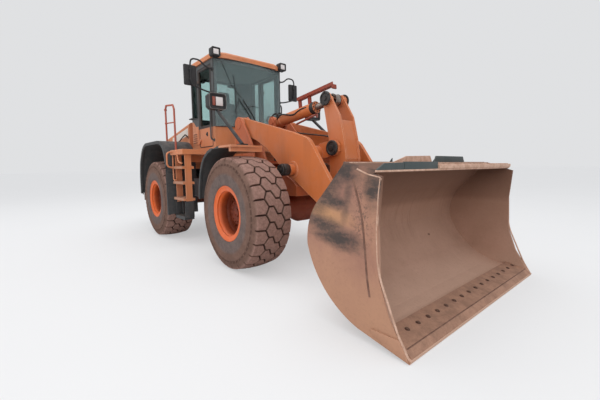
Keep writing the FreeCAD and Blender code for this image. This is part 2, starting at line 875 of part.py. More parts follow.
def curve_edges(points):
    """Floor line, heel arc, back arc and upper line through the profile's points."""
    return [
        Part.LineSegment(points[0], points[1]).toShape(),
        Part.Arc(points[1], points[2], points[3]).toShape(),
        Part.Arc(points[3], points[4], points[5]).toShape(),
        Part.LineSegment(points[5], points[6]).toShape(),
    ]


def slab_from(edges, y0, y1):
    """A solid across the machine from edges of a closed side-view outline at y 0."""
    solid = Part.Face(Part.Wire(Part.__sortEdges__(edges))).extrude(Vec(0, y1 - y0, 0))
    solid.translate(Vec(0, y0, 0))
    return solid


def joined(points):
    """Straight edges through points in turn."""
    return [Part.LineSegment(a, b).toShape() for a, b in zip(points[:-1], points[1:])]


def make_bucket():
    """Bucket shell: curved back and floor, side plates, raised spill guard and hinge ears behind."""
    half = bucket_width / 2
    outer = bucket_curve(0)
    inner = bucket_curve(bucket_wall)
    skin = curve_edges(outer) + curve_edges(inner)
    skin += joined([outer[-1], inner[-1]]) + joined([inner[0], outer[0]])
    front = [Vec(front_x + x, 0, z) for x, z in side_front_edge]
    side_edges = curve_edges(outer) + joined([outer[-1]] + front)
    pieces = [slab_from(skin, -half, half)]
    for y in (-half, half - bucket_side):
        pieces.append(slab_from(side_edges, y, y + bucket_side))
    top = outer[-1]
    guard = [
        (top.x - 24, top.z - 30),
        (top.x + 12, top.z - 40),
        (top.x + 300, top.z - 90),
        (top.x + 306, top.z - 62),
        (top.x - 10, top.z + 4),
    ]
    pieces.append(plate_y(guard, -half, half))
    bx, bz = at_front(bucket_pin)
    fx, fz = at_front(link_end)
    arm_in = arm_y - arm_boss_grow - ear_gap
    arm_out = arm_y + arm_plate + arm_boss_grow + ear_gap
    ear = [
        (bx - 105, bz),
        (bx - 74, bz - 74),
        (bx, bz - 105),
        (front_x + 1990, 320),
        (front_x + 1960, 950),
        (front_x + 1800, 1010),
        (bx - 40, bz + 97),
        (bx - 90, bz + 54),
    ]
    link_ear = [
        (fx - 92, fz),
        (fx - 60, fz - 80),
        (front_x + 1850, 540),
        (front_x + 1900, 1070),
        (fx - 20, fz + 92),
        (fx - 80, fz + 50),
    ]
    stub = link_width / 2 + moving_gap
    for side in (1, -1):
        pieces.append(plate_y(ear, side * (arm_in - ear_plate), side * arm_in))
        pieces.append(plate_y(ear, side * arm_out, side * (arm_out + ear_plate)))
        pieces.append(plate_y(link_ear, side * (stub + 25), side * (stub + 25 + ear_plate)))
        pieces.append(cyl_y((fx, fz), link_pin_radius, side * stub, side * (stub + 25 + ear_plate)))
    shell = fused(pieces)
    hole = cyl_y((bx, bz), pin_radius + running_fit, -700, 700)
    return shell.cut([bucket_cavity(), hole])


def bucket_cavity():
    """The bucket's inside between its side plates, out past its mouth."""
    half = bucket_width / 2 - bucket_side
    inner = bucket_curve(bucket_wall)
    far = front_x + 3100
    edges = curve_edges(inner)
    edges += joined([inner[-1], Vec(far, 0, inner[-1].z - 330), Vec(far, 0, inner[0].z), inner[0]])
    return slab_from(edges, -half, half)


def make_cutting_edge():
    """The wear edge that lies on the bucket's floor at its mouth."""
    inner = bucket_curve(bucket_wall)
    direction = (inner[1] - inner[0]).normalize()
    up = Vec(direction.z, 0, -direction.x)
    start = inner[0] + direction * 6 + up * seat_gap
    half = bucket_width / 2 - bucket_side - 3
    corners = [
        start,
        start + direction * edge_length,
        start + direction * edge_length + up * edge_thickness,
        start + direction * 60 + up * edge_thickness,
    ]
    return slab_from(joined(corners + [corners[0]]), -half, half)


def make_bucket_pins():
    """The two pins that hinge the bucket on the arms."""
    start = arm_y - arm_boss_grow - ear_gap - ear_plate - 15
    end = arm_y + arm_plate + arm_boss_grow + ear_gap + ear_plate + 15
    return both_sides(lambda side: cyl_y(at_front(bucket_pin), pin_radius, side * start, side * end))


# Front fenders and lamps
fender_outer_y = 1380.0
fender_inner_y = 860.0
fender_z = 1716.0
fender_plate = 26.0
fender_front = 200.0
fender_back = -150.0
flap_thickness = 16.0
fender_rail = 44.0


def make_front_fender(side):
    """Flat steel top over a front wheel, on a rail and a beam from the tower."""
    px, _ = at_front(arm_pin)
    corners = [
        (front_x + fender_back, side * fender_inner_y),
        (front_x + fender_back, side * fender_outer_y),
        (front_x + fender_front, side * fender_outer_y),
        (front_x + fender_front - 30, side * fender_inner_y),
    ]
    top = plate_z(corners, fender_z, fender_z + fender_plate)
    rail_z = fender_z - 60
    rail = box(px - 60, front_x + fender_front - 40, side * fender_inner_y, side * (fender_inner_y + fender_rail), rail_z, fender_z)
    low = tower_outer_y + tower_plate
    beam = box(px - 60, px + 60, side * low, side * (fender_inner_y + fender_rail), rail_z - 20, rail_z + 40)
    cross_x = front_x + fender_front - 90
    cross = box(cross_x, cross_x + 50, side * fender_inner_y, side * (fender_outer_y - 20), rail_z, fender_z)
    return fused([top, rail, beam, cross])


def flap_path():
    """The rubber fender's rear curve in the side view, from its joint to its foot."""
    return [
        (front_x + fender_back - 1, fender_z + fender_plate - 8),
        (front_x - 460, fender_z - 10),
        (front_x - 700, fender_z - 140),
        (front_x - 810, fender_z - 330),
        (front_x - 885, fender_z - 620),
        (front_x - 890, fender_z - 760),
    ]


def strip_solid(path, thickness, y0, y1):
    """A bent strip of even thickness along a side-view path."""
    upper = []
    lower = []
    count = len(path)
    for i in range(count):
        here = Vec(path[i][0], 0, path[i][1])
        steps = []
        if i > 0:
            steps.append((here - Vec(path[i - 1][0], 0, path[i - 1][1])).normalize())
        if i < count - 1:
            steps.append((Vec(path[i + 1][0], 0, path[i + 1][1]) - here).normalize())
        mean = Vec(0, 0, 0)
        for step in steps:
            mean = mean + step
        mean.normalize()
        normal = Vec(-mean.z, 0, mean.x)
        shift = normal * (thickness / 2 / mean.dot(steps[0]))
        upper.append((here.x + shift.x, here.z + shift.z))
        lower.append((here.x - shift.x, here.z - shift.z))
    return plate_y(upper + list(reversed(lower)), y0, y1)


def make_front_flap(side):
    """Rubber fender extension behind a front wheel."""
    y0 = side * (fender_inner_y + fender_rail + 1)
    return strip_solid(flap_path(), flap_thickness, y0, side * fender_outer_y)


lamp_y = 1050.0
lamp_centre = (-850.0, 2490.0)
lamp_width = 290.0
lamp_height = 250.0
lamp_depth = 130.0


def lamp_box(x0, x1, y0, y1, z0, z1, chamfer):
    """A lamp housing facing forward with cut corners."""
    points = [
        (y0 + chamfer, z0),
        (y1 - chamfer, z0),
        (y1, z0 + chamfer),
        (y1, z1 - chamfer),
        (y1 - chamfer, z1),
        (y0 + chamfer, z1),
        (y0, z1 - chamfer),
        (y0, z0 + chamfer),
    ]
    corners = [Vec(x0, y, z) for y, z in points]
    return Part.Face(Part.makePolygon(corners + [corners[0]])).extrude(Vec(x1 - x0, 0, 0))


def make_headlamp(side):
    """A headlamp box on a strut from the fender's top."""
    cx, cz = at_front(lamp_centre)
    y = side * lamp_y
    foot_x = front_x - 60
    top = fender_z + fender_plate
    body = lamp_box(cx - lamp_depth / 2, cx + lamp_depth / 2, y - lamp_width / 2, y + lamp_width / 2,
                    cz - lamp_height / 2, cz + lamp_height / 2, 40)
    strut = sided_bar((foot_x, y, top + 30), (cx, y, cz - lamp_height / 2 + 20), 27, 8)
    foot = box(foot_x - 60, foot_x + 60, y - 60, y + 60, top, top + 34)
    return fused([body, strut, foot])


# Cab: plan places as x from the pivot
cab_wall = 55.0
cab_half = 750.0
cab_top_z = 3410.0
cab_belt_z = 2200.0
cab_rear_belt_z = 2370.0
glass_high_z = 3335.0
door_front = -15.0
door_rear = -600.0
door_low_z = 1835.0
door_gap = 8.0
door_thickness = 45.0
glass_thickness = 12.0
pillar = 60.0
quarter_front = -665.0
quarter_rear = -905.0
rear_window_half = 430.0
rear_window_low_z = 2480.0


def cab_outline(inset):
    """The cab's plan outline, moved inwards by inset."""
    half = cab_half - inset
    rear_half = 520.0 - inset * 0.6
    return [
        (pivot_x + 70 - inset, -half),
        (pivot_x + 150 - inset, -half * 0.62),
        (pivot_x + 190 - inset, -half * 0.24),
        (pivot_x + 190 - inset, half * 0.24),
        (pivot_x + 150 - inset, half * 0.62),
        (pivot_x + 70 - inset, half),
        (pivot_x - 950, half),
        (pivot_x - 1250 + inset, rear_half),
        (pivot_x - 1250 + inset, -rear_half),
        (pivot_x - 950, -half),
    ]


def door_tool(side, z0, z1, grow):
    """The block that a door opening takes out of a side wall."""
    return box(pivot_x + door_rear - grow, pivot_x + door_front + grow, side * (cab_half - cab_wall - 30),
               side * (cab_half + 30), z0 - grow, z1 + grow)


def belt_tool():
    """The space above the belt line, which rises to the rear."""
    return plate_y(
        [
            (pivot_x + 300, cab_belt_z),
            (pivot_x + 300, cab_top_z + 100),
            (pivot_x - 1400, cab_top_z + 100),
            (pivot_x - 1400, cab_rear_belt_z),
            (pivot_x - 880, cab_rear_belt_z),
            (pivot_x - 700, cab_belt_z),
        ],
        -1000,
        1000,
    )


def cab_hollow():
    """The cab's inside, from its floor up."""
    return plate_z(cab_outline(cab_wall), cab_floor_z + cab_wall, cab_top_z + 200)


def make_cab_base():
    """The cab's lower body: floor and walls up to the belt line, with the doorways cut."""
    shell = plate_z(cab_outline(0), cab_floor_z, cab_top_z)
    tools = [cab_hollow(), belt_tool()]
    for side in (1, -1):
        tools.append(door_tool(side, door_low_z, glass_high_z, 0))
    base = shell.cut(tools)
    knuckles = []
    for side in (1, -1):
        knuckles += hinge_on_cab(side, hinge_low_z)
    return fused([base] + knuckles)


def make_cab_frame():
    """The cab's pillars and window surrounds above the belt line."""
    shell = plate_z(cab_outline(0), cab_belt_z, cab_top_z)
    above = shell.common(belt_tool())
    tools = [cab_hollow(), box(pivot_x + 25, pivot_x + 400, -cab_half + 62, cab_half - 62, cab_belt_z - 1, glass_high_z)]
    for side in (1, -1):
        tools.append(door_tool(side, door_low_z, glass_high_z, 0))
        tools.append(box(pivot_x + quarter_front, pivot_x + quarter_rear, side * (cab_half - 80),
                         side * (cab_half + 20), cab_rear_belt_z + 60, glass_high_z))
    tools.append(box(pivot_x - 1300, pivot_x - 1150, -rear_window_half, rear_window_half, rear_window_low_z,
                     glass_high_z))
    frame = above.cut(tools)
    knuckles = []
    for side in (1, -1):
        knuckles += hinge_on_cab(side, hinge_high_z)
    return fused([frame] + knuckles)


hinge_low_z = 1960.0
hinge_high_z = 3080.0
door_pin_radius = 9.0
knuckle_radius = 17.0
knuckle_height = 44.0


def door_axis(side):
    """Where a door's hinge stands in plan."""
    return (pivot_x + door_rear + 10, side * (cab_half + knuckle_radius + 3))


def hinge_on_cab(side, z):
    """The cab's half of a door hinge: a knuckle on a leg, with the pin standing in it."""
    x, y = door_axis(side)
    knuckle = cyl_z(x, y, knuckle_radius, z - knuckle_height, z - 1)
    leg = box(x - 60, pivot_x + door_rear - 1, side * cab_half, y, z - knuckle_height, z - 1)
    pin = cyl_z(x, y, door_pin_radius, z - knuckle_height, z + knuckle_height)
    return [fused([knuckle, leg, pin])]


def hinge_on_door(side, z):
    """The door's half of a hinge: a knuckle turning on the cab's pin."""
    x, y = door_axis(side)
    knuckle = cyl_z(x, y, knuckle_radius, z + 1, z + knuckle_height)
    leg = box(x, x + 70, side * cab_half, y, z + 1, z + knuckle_height)
    return fused([knuckle, leg]).cut(cyl_z(x, y, door_pin_radius + running_fit, z, z + knuckle_height + 1))


def door_span():
    """The door's front and rear ends and its low and high edges."""
    x0 = pivot_x + door_rear + door_gap
    x1 = pivot_x + door_front - door_gap
    return x0, x1, door_low_z + door_gap, glass_high_z - door_gap


def make_door_panel(side):
    """A door's steel lower part with its handle and lower hinge."""
    x0, x1, z0, _ = door_span()
    panel = box(x0, x1, side * (cab_half - door_thickness), side * cab_half, z0, cab_belt_z)
    handle = box(x1 - 120, x1 - 60, side * cab_half, side * (cab_half + 14), 1985, 2110)
    return fused([panel, handle, hinge_on_door(side, hinge_low_z)])


def make_door_frame(side):
    """A door's window frame, standing on the panel, with the upper hinge."""
    x0, x1, _, z1 = door_span()
    edge = 48.0
    frame = box(x0, x1, side * (cab_half - door_thickness), side * cab_half, cab_belt_z, z1)
    window = box(x0 + edge, x1 - edge, side * (cab_half - 80), side * (cab_half + 20), cab_belt_z + edge, z1 - edge)
    return fused([frame.cut(window), hinge_on_door(side, hinge_high_z)])


def make_door_glass(side):
    """A door's window pane."""
    x0, x1, _, z1 = door_span()
    edge = 48.0 + seat_gap
    y0 = side * (cab_half - 30)
    return box(x0 + edge, x1 - edge, y0, y0 + side * glass_thickness, cab_belt_z + edge, z1 - edge)


visor_half = 655.0


def make_cab_roof():
    """The cab roof: a slab with a visor over the windscreen."""
    corners = [
        (pivot_x + 200, -540),
        (pivot_x + 200, 540),
        (pivot_x + 150, visor_half),
        (pivot_x + 50, visor_half),
        (pivot_x + 40, 780),
        (pivot_x - 960, 780),
        (pivot_x - 1280, 550),
        (pivot_x - 1280, -550),
        (pivot_x - 960, -780),
        (pivot_x + 40, -780),
        (pivot_x + 50, -visor_half),
        (pivot_x + 150, -visor_half),
    ]
    slab = plate_z(corners, cab_top_z + seat_gap, roof_height)
    top_edges = [e for e in slab.Edges if abs(e.CenterOfMass.z - roof_height) < 1]
    return slab.makeChamfer(28, top_edges)


def make_cab_glass():
    """Fixed panes: windscreen, side quarters and rear window."""
    band = plate_z(cab_outline(20), cab_belt_z + seat_gap, glass_high_z - seat_gap)
    ring = band.cut(plate_z(cab_outline(20 + glass_thickness), cab_belt_z, glass_high_z))
    edge = seat_gap
    front = box(pivot_x + 25 + edge, pivot_x + 400, -cab_half + 62 + edge, cab_half - 62 - edge,
                cab_belt_z, glass_high_z)
    rear = box(pivot_x - 1300, pivot_x - 1150, -rear_window_half + edge, rear_window_half - edge,
               rear_window_low_z + edge, glass_high_z - edge)
    panes = list(ring.common(front).Solids) + list(ring.common(rear).Solids)
    for side in (1, -1):
        quarter = box(pivot_x + quarter_front - edge, pivot_x + quarter_rear + edge, side * (cab_half - 80),
                      side * (cab_half + 20), cab_rear_belt_z + 60 + edge, glass_high_z - edge)
        panes += list(ring.common(quarter).Solids)
    return panes


steering_wheel_radius = 190.0
column_x = -180.0
cab_inside_z = cab_floor_z + cab_wall


def make_cab_controls():
    """Console with steering column and wheel, the seat's pedestal and the side consoles."""
    x = pivot_x + column_x
    wheel = ring_solid([(-11, steering_wheel_radius - 11), (-11, steering_wheel_radius + 11),
                        (11, steering_wheel_radius + 11), (11, steering_wheel_radius - 11)], 20)
    wheel.rotate(Vec(0, 0, 0), Vec(1, 0, 0), 90)
    wheel.rotate(Vec(0, 0, 0), Vec(0, 1, 0), -20)
    wheel.translate(Vec(x - 110, 0, cab_inside_z + 690))
    spoke = box(x - 128, x - 92, -steering_wheel_radius, steering_wheel_radius, cab_inside_z + 682, cab_inside_z + 698)
    column = sided_bar((x, 0, cab_inside_z + 380), (x - 110, 0, cab_inside_z + 692), 36, 8)
    console = plate_y(
        [
            (x - 70, cab_inside_z),
            (x - 50, cab_inside_z + 430),
            (x + 60, cab_inside_z + 470),
            (x + 130, cab_inside_z),
        ],
        -150,
        150,
    )
    solids = [fused([console, column, spoke, wheel])]
    solids.append(box(pivot_x - 800, pivot_x - 470, -200, 200, cab_inside_z, cab_inside_z + 330))
    for side in (1, -1):
        arm = [
            (pivot_x - 860, cab_inside_z),
            (pivot_x - 860, cab_inside_z + 470),
            (pivot_x - 480, cab_inside_z + 520),
            (pivot_x - 420, cab_inside_z + 440),
            (pivot_x - 470, cab_inside_z),
        ]
        solids.append(plate_y(arm, side * 300, side * 430))
    return solids


def make_seat():
    """Seat cushion, back and headrest as plain closed forms."""
    low = cab_inside_z + 330 + seat_gap
    cushion = [
        (pivot_x - 880, low),
        (pivot_x - 890, low + 130),
        (pivot_x - 430, low + 160),
        (pivot_x - 400, low + 110),
        (pivot_x - 410, low),
    ]
    back = [
        (pivot_x - 880, low + 100),
        (pivot_x - 1010, low + 680),
        (pivot_x - 960, low + 720),
        (pivot_x - 890, low + 700),
        (pivot_x - 750, low + 120),
    ]
    head = [
        (pivot_x - 1000, low + 690),
        (pivot_x - 1040, low + 930),
        (pivot_x - 960, low + 950),
        (pivot_x - 920, low + 700),
    ]
    return fused([plate_y(cushion, -240, 240), plate_y(back, -230, 230), plate_y(head, -130, 130)])


def make_mirror(side):
    """An outside mirror on a tube hoop from the front pillar."""
    x = pivot_x + 12
    y = side * 1150
    head = box(x - 30, x + 30, y - 112, y + 112, 2875, 3225)
    pillar_y = side * cab_half
    hoop = tube_path(
        [
            (pivot_x + 40, pillar_y, 3215),
            (pivot_x + 40, side * 860, 3215),
            (pivot_x + 30, side * 1000, 3335),
            (x, side * 1110, 3335),
            (x, y, 3290),
            (x, y, 3210),
        ],
        15,
    )
    low = tube_path([(pivot_x + 40, pillar_y, 2790), (pivot_x + 40, side * 850, 2790), (x, y, 2890)], 11)
    return fused([head, hoop, low])


def make_work_lamps():
    """Work lamps beside the visor and on the cab's rear wall."""
    solids = []
    for side in (1, -1):
        inner = visor_half + seat_gap
        ys = sorted((side * inner, side * (inner + 165)))
        low = cab_top_z + seat_gap
        solids.append(lamp_box(pivot_x + 90, pivot_x + 200, ys[0], ys[1], low, low + 150, 20))
        ys = sorted((side * 290, side * 440))
        x = pivot_x - 1250 - seat_gap
        solids.append(lamp_box(x - 90, x, ys[0], ys[1], cab_top_z - 110, cab_top_z - 5, 14))
    return solids


def make_grab_rails():
    """Long tube handles down the cab's sides, ahead of the doors."""
    solids = []
    for side in (1, -1):
        y = side * (cab_half + 70)
        x = pivot_x + 35
        wall = side * cab_half
        solids.append(tube_path([(x, wall, 2750), (x, y, 2750), (x, y, 1950), (x, wall, 1950)], 13))
    return solids


# Hood and rear
hood_front = -1270.0
hood_half = 700.0
hood_front_z = 2420.0
hood_rear_z = 2170.0
hood_wall = 30.0
hood_chamfer = 44.0
hood_low_z = 1430.0
hood_rear_reach = 1560.0
grille_half = 520.0
grille_low_z = 1500.0
grille_high_z = 1900.0
engine_low_z = 1250.0
engine_top_z = 2050.0
counterweight_half = 1150.0
counterweight_low_z = 640.0
tow_bore = 25.0
stack_x = rear_x - 150


def hood_outline(inset):
    """The hood's side outline, moved inwards by inset."""
    return [
        (pivot_x + hood_front - inset, hood_low_z - (1 if inset else 0)),
        (pivot_x + hood_front - inset, hood_front_z - inset),
        (rear_x - 1150, hood_rear_z - inset),
        (rear_x - 1400, hood_rear_z - 50 - inset),
        (rear_x - hood_rear_reach + inset, hood_rear_z - 200 - inset),
        (rear_x - hood_rear_reach + inset, hood_low_z - (1 if inset else 0)),
    ]


def make_hood():
    """The engine hood: a hollow sheet shell, open below and at the grille."""
    sections = []
    for x, z in hood_outline(0)[1:-1]:
        low = hood_low_z
        shoulder = z - hood_chamfer
        crown = hood_half - hood_chamfer
        ring = [(-hood_half, low), (-hood_half, shoulder), (-crown, z), (crown, z), (hood_half, shoulder), (hood_half, low)]
        sections.append([Vec(x, y, level) for y, level in ring])
    rounded = stacked(sections)
    tools = [plate_y(hood_outline(hood_wall), -hood_half + hood_wall, hood_half - hood_wall)]
    back = rear_x - hood_rear_reach
    tools.append(box(back - 10, back + hood_wall + 40, -grille_half, grille_half, grille_low_z, grille_high_z))
    for y, radius in ((-250, stack_radius), (230, intake_radius)):
        tools.append(cyl_z(stack_x, y, radius + seat_gap, engine_top_z, hood_front_z))
    return rounded.cut(tools)


stack_radius = 62.0
intake_radius = 70.0


def make_stacks():
    """Exhaust pipe and air intake, standing on the engine through the hood."""
    exhaust = cyl_z(stack_x, -250, stack_radius, engine_top_z, 2880)
    pipe = cyl_z(stack_x, 230, intake_radius, engine_top_z, 2620)
    cap = sided_bar((stack_x, 230, 2600), (stack_x, 230, 2760), 125, 16)
    return [exhaust, fused([pipe, cap])]


def make_rear_grille():
    """The radiator grille: a frame with level bars."""
    x0 = rear_x - hood_rear_reach + seat_gap
    x1 = x0 + 25
    z0 = grille_low_z + seat_gap
    z1 = grille_high_z - seat_gap
    half = grille_half - seat_gap
    edge = 40
    frame = box(x0, x1, -half, half, z0, z1).cut(box(x0 - 1, x1 + 1, -half + edge, half - edge, z0 + edge, z1 - edge))
    pieces = [frame, box(x0 + 4, x1 - 4, -15, 15, z0 + 20, z1 - 20)]
    count = 8
    step = (z1 - z0 - 2 * edge) / count
    for i in range(1, count):
        z = z0 + edge + i * step
        pieces.append(box(x0 + 4, x1 - 4, -half + 20, half - 20, z - 9, z + 9))
    return fused(pieces)


def make_engine():
    """The engine as one block on the frame rails."""
    front = pivot_x - 1420
    low = box(front, rear_x - 880, -400, 400, engine_low_z, engine_low_z + 60)
    return fused([low, box(front, rear_x - 880, -330, 330, engine_low_z, engine_top_z)])


def make_counterweight():
    """The cast counterweight behind the rear frame, with a jaw and bore for a tow pin."""
    front = rear_x - rear_rail_end
    back = rear_x - rear_overhang
    plan = [
        (front, counterweight_half),
        (back + 300, counterweight_half),
        (back + 120, counterweight_half - 80),
        (back, counterweight_half - 300),
        (back, -counterweight_half + 300),
        (back + 120, -counterweight_half + 80),
        (back + 300, -counterweight_half),
        (front, -counterweight_half),
    ]
    body = plate_z(plan, counterweight_low_z, hood_low_z)
    slope = plate_y(
        [
            (back - 20, counterweight_low_z - 20),
            (back + 75, counterweight_low_z - 20),
            (back - 20, counterweight_low_z + 110),
        ],
        -1400,
        1400,
    )
    jaw = box(back - 10, back + 220, -90, 90, 760, 850)
    well = box(back - 10, back + 220, -90, 90, 970, hood_low_z + 1)
    pin_hole = cyl_z(back + 110, 0, tow_bore, counterweight_low_z - 1, 971)
    return body.cut([slope, jaw, well, pin_hole])


# Decks, ladders, mudguards, rails
deck_z = 1690.0
deck_plate = 90.0
deck_front = -60.0
deck_rear = -664.0
deck_outer = 1330.0
ladder_front = -105.0
ladder_rear = -600.0
ladder_plate = 26.0
step_levels = (870.0, 1170.0, 1450.0)
ladder_outer = 1320.0
ladder_plate_y = 1155.0


def make_deck(side):
    """The landing beside the cab, with a bracket down to the rear frame."""
    x0 = pivot_x + deck_front
    x1 = pivot_x + deck_rear
    deck = box(x0, x1, side * (cab_half + 60), side * deck_outer, deck_z, deck_z + deck_plate)
    seat = box(x0 - 60, x1 + 40, side * (cab_half - 60), side * (cab_half + 61), deck_z, cab_floor_z)
    hanger = box(x1, x1 + 50, side * 400, side * 1060, deck_z - 130, deck_z)
    leg = box(pivot_x - 790, x1 + 50, side * 400, side * 440, 1300, deck_z)
    return fused([deck, seat, hanger, leg])


def make_side_box(side):
    """A battery box hung on the rear frame's side, ahead of the rear wheel."""
    x0 = pivot_x - 800 + 40
    return fused([
        box(pivot_x - 640, pivot_x - 400, side * 560, side * 900, 880, 1240),
        box(x0, pivot_x - 500, side * 400, side * 600, 1120, 1180),
    ])


def make_ladder(side):
    """Access steps: two side plates, three treads, a hoop at the rear and a hung rubber step."""
    x0 = pivot_x + ladder_front
    x1 = pivot_x + ladder_rear
    inner = ladder_plate_y
    outer = ladder_plate_y + 115
    pieces = []
    for x in (x0 - ladder_plate, x1):
        pieces.append(box(x, x + ladder_plate, side * inner, side * outer, 800, deck_z))
    for level in step_levels:
        pieces.append(box(x0, x1, side * (ladder_outer - 210), side * ladder_outer, level - 20, level + 20))
    hoop_y = side * (ladder_outer - 25)
    pieces.append(tube_path([(x1 + 40, hoop_y, step_levels[2] - 240), (x1 - 40, hoop_y, step_levels[2] - 220),
                             (x1 - 40, hoop_y, deck_z)], 15))
    pieces.append(box(x1 + 20, x1 + 60, side * (ladder_outer - 50), side * (ladder_outer - 10), step_levels[2] - 260, step_levels[2] - 215))
    return fused(pieces)


def make_foot_steps():
    """Rubber straps under the ladders that carry the lowest step."""
    solids = []
    for side in (1, -1):
        x0 = pivot_x + ladder_front - ladder_plate
        x1 = pivot_x + ladder_rear + ladder_plate
        strap = [box(x0 - 60, x0, side * (ladder_plate_y + 15), side * (ladder_plate_y + 31), 520, 850 - 20),
                 box(x1, x1 + 60, side * (ladder_plate_y + 15), side * (ladder_plate_y + 31), 520, 850 - 20)]
        tread = box(x0, x1, side * (ladder_outer - 190), side * (ladder_outer - 10), 500, 560)
        solids.append(fused([tread] + strap))
    return solids


guard_outer = 1420.0
guard_inner = 810.0
guard_thickness = 40.0
guard_top_z = 1975.0
guard_bracket = 80.0


def make_rear_mudguard(side):
    """A full mudguard over a rear wheel, hung from the frame by a bracket."""
    path = [
        (rear_x + 915, 560),
        (rear_x + 905, 1560),
        (rear_x + 850, 1760),
        (rear_x + 720, 1910),
        (rear_x + 520, guard_top_z),
        (rear_x - 420, guard_top_z),
        (rear_x - 640, 1880),
        (rear_x - 850, 1600),
        (rear_x - 920, 1300),
        (rear_x - 935, 880),
    ]
    arch = strip_solid(path, guard_thickness, side * guard_inner, side * guard_outer)
    low = guard_top_z - guard_thickness / 2
    front = rear_x + guard_bracket / 2
    back = rear_x - guard_bracket / 2
    post = hood_half + moving_gap
    frame_face = rear_rail_y + rear_rail_plate
    arm = box(back, front, side * post, side * (guard_inner + 100), low - 60, low)
    upright = box(back, front, side * post, side * (post + 50), rear_rail_top - 70, low)
    foot = box(back, front, side * frame_face, side * (post + 50), rear_rail_top - 70, rear_rail_top - 10)
    return fused([arch, arm, upright, foot])


def make_handrail(side):
    """A tube rail beside the hood, one foot on the mudguard and one on the deck."""
    y = side * 1230
    rear_foot = pivot_x - 1105
    front_foot = pivot_x - 630
    rail = tube_path(
        [
            (rear_foot, y, guard_top_z + guard_thickness / 2),
            (rear_foot, y, 2610),
            (rear_foot + 50, y, 2680),
            (front_foot - 60, y, 2640),
            (front_foot, y, 2560),
            (front_foot, y, deck_z + deck_plate),
        ],
        18,
    )
    middle = sided_bar((rear_foot, y, 2340), (front_foot, y, 2310), 12, 6)
    return fused([rail, middle])


guard_offset = 205.0
guard_start = 600.0
guard_end = 1400.0


def make_tilt_guard():
    """The long angle over the tilt cylinder that shows the bucket's angle, with a hooked end."""
    base = at_front(tilt_base)
    top = at_front(lever_top)
    foot = tilt_tube_radius + seat_gap
    high = guard_offset + 14
    pieces = []
    for s in (guard_start, guard_start + 230):
        pieces.append(slab_along(base, top, s, s + 55, foot, guard_offset + 2, -16, 16))
    pieces.append(slab_along(base, top, guard_start, guard_end, guard_offset, high, -40, 40))
    pieces.append(slab_along(base, top, guard_start, guard_end, guard_offset + 8, high + 34, -40, -28))
    pieces.append(slab_along(base, top, guard_end - 26, guard_end, guard_offset - 44, high, -40, 40))
    return fused(pieces)


def make_parts():
    """Every node of the machine as a name and its solids."""
    parts = {
        "rear_frame": [make_rear_frame()],
        "rear_axle": [make_rear_axle()],
        "engine_block": [make_engine()],
        "hood": [make_hood()],
        "rear_grille": [make_rear_grille()],
        "counterweight": [make_counterweight()],
        "cab_base": [make_cab_base()],
        "cab_frame": [make_cab_frame()],
        "cab_roof": [make_cab_roof()],
        "cab_glass": make_cab_glass(),
        "cab_controls": make_cab_controls(),
        "seat": [make_seat()],
        "mirrors": both_sides(make_mirror),
        "work_lamps": make_work_lamps(),
        "grab_rails": make_grab_rails(),
        "decks": both_sides(make_deck),
        "side_boxes": both_sides(make_side_box),
        "ladders": both_sides(make_ladder),
        "foot_steps": make_foot_steps(),
        "rear_mudguards": both_sides(make_rear_mudguard),
        "handrails": both_sides(make_handrail),
        "stacks": make_stacks(),
        "front_frame": [make_front_frame()],
        "front_axle": [make_axle(front_x, -1)],
        "front_fenders": both_sides(make_front_fender),
        "front_flaps": both_sides(make_front_flap),
        "headlamps": both_sides(make_headlamp),
        "lift_arms": [make_lift_arms()],
        "lever_pin": [make_lever_pin()],
        "tilt_lever": [make_tilt_lever()],
        "link_pin": [make_link_pin()],
        "tilt_link": [make_tilt_link()],
        "bucket_pins": make_bucket_pins(),
        "bucket": [make_bucket()],
        "cutting_edge": [make_cutting_edge()],
        "tilt_guard": [make_tilt_guard()],
    }
    tyre = make_tyre()
    rim = make_rim()
    for end, axle_x in (("front", front_x), ("rear", rear_x)):
        for name, side in (("left", 1), ("right", -1)):
            parts["tyre_" + end + "_" + name] = [place_wheel(tyre, axle_x, side)]
            parts["rim_" + end + "_" + name] = [place_wheel(rim, axle_x, side)]
    base = at_front(lift_base)
    eye = at_front(lift_eye)
    for name, side in (("left", 1), ("right", -1)):
        y = side * lift_cylinder_y
        parts["lift_tube_" + name] = [
            make_tube(base, eye, lift_tube_length, lift_tube_radius, y, lift_eye_width, lift_rod_radius)
        ]
        parts["lift_rod_" + name] = [
            make_rod(base, eye, lift_rod_inner, y, lift_eye_width, lift_rod_radius, side * lift_rod_cap)
        ]
        parts["steer_tube_" + name] = [make_steer_tube(side)]
        parts["steer_rod_" + name] = [make_steer_rod(side)]
        parts["door_panel_" + name] = [make_door_panel(side)]
        parts["door_frame_" + name] = [make_door_frame(side)]
        parts["door_glass_" + name] = [make_door_glass(side)]
    base = at_front(tilt_base)
    top = at_front(lever_top)
    parts["tilt_tube"] = [
        make_tube(base, top, tilt_tube_length, tilt_tube_radius, 0, tilt_base_width, tilt_rod_radius)
    ]
    parts["tilt_rod"] = [make_rod(base, top, tilt_rod_inner, 0, tilt_eye_width, tilt_rod_radius, 0)]
    return parts


def write_parts():
    """Writes each node as one STEP file."""
    os.makedirs("parts", exist_ok=True)
    for name, solids in make_parts().items():
        shape = solids[0] if len(solids) == 1 else Part.makeCompound(solids)
        shape.exportStep(os.path.join("parts", name + ".step"))
        print(name, len(shape.Solids), shape.isValid(), round(shape.Volume / 1e6, 2))


write_parts()
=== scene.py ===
import json
import math

import bmesh
import bpy
from mathutils import Matrix, Vector


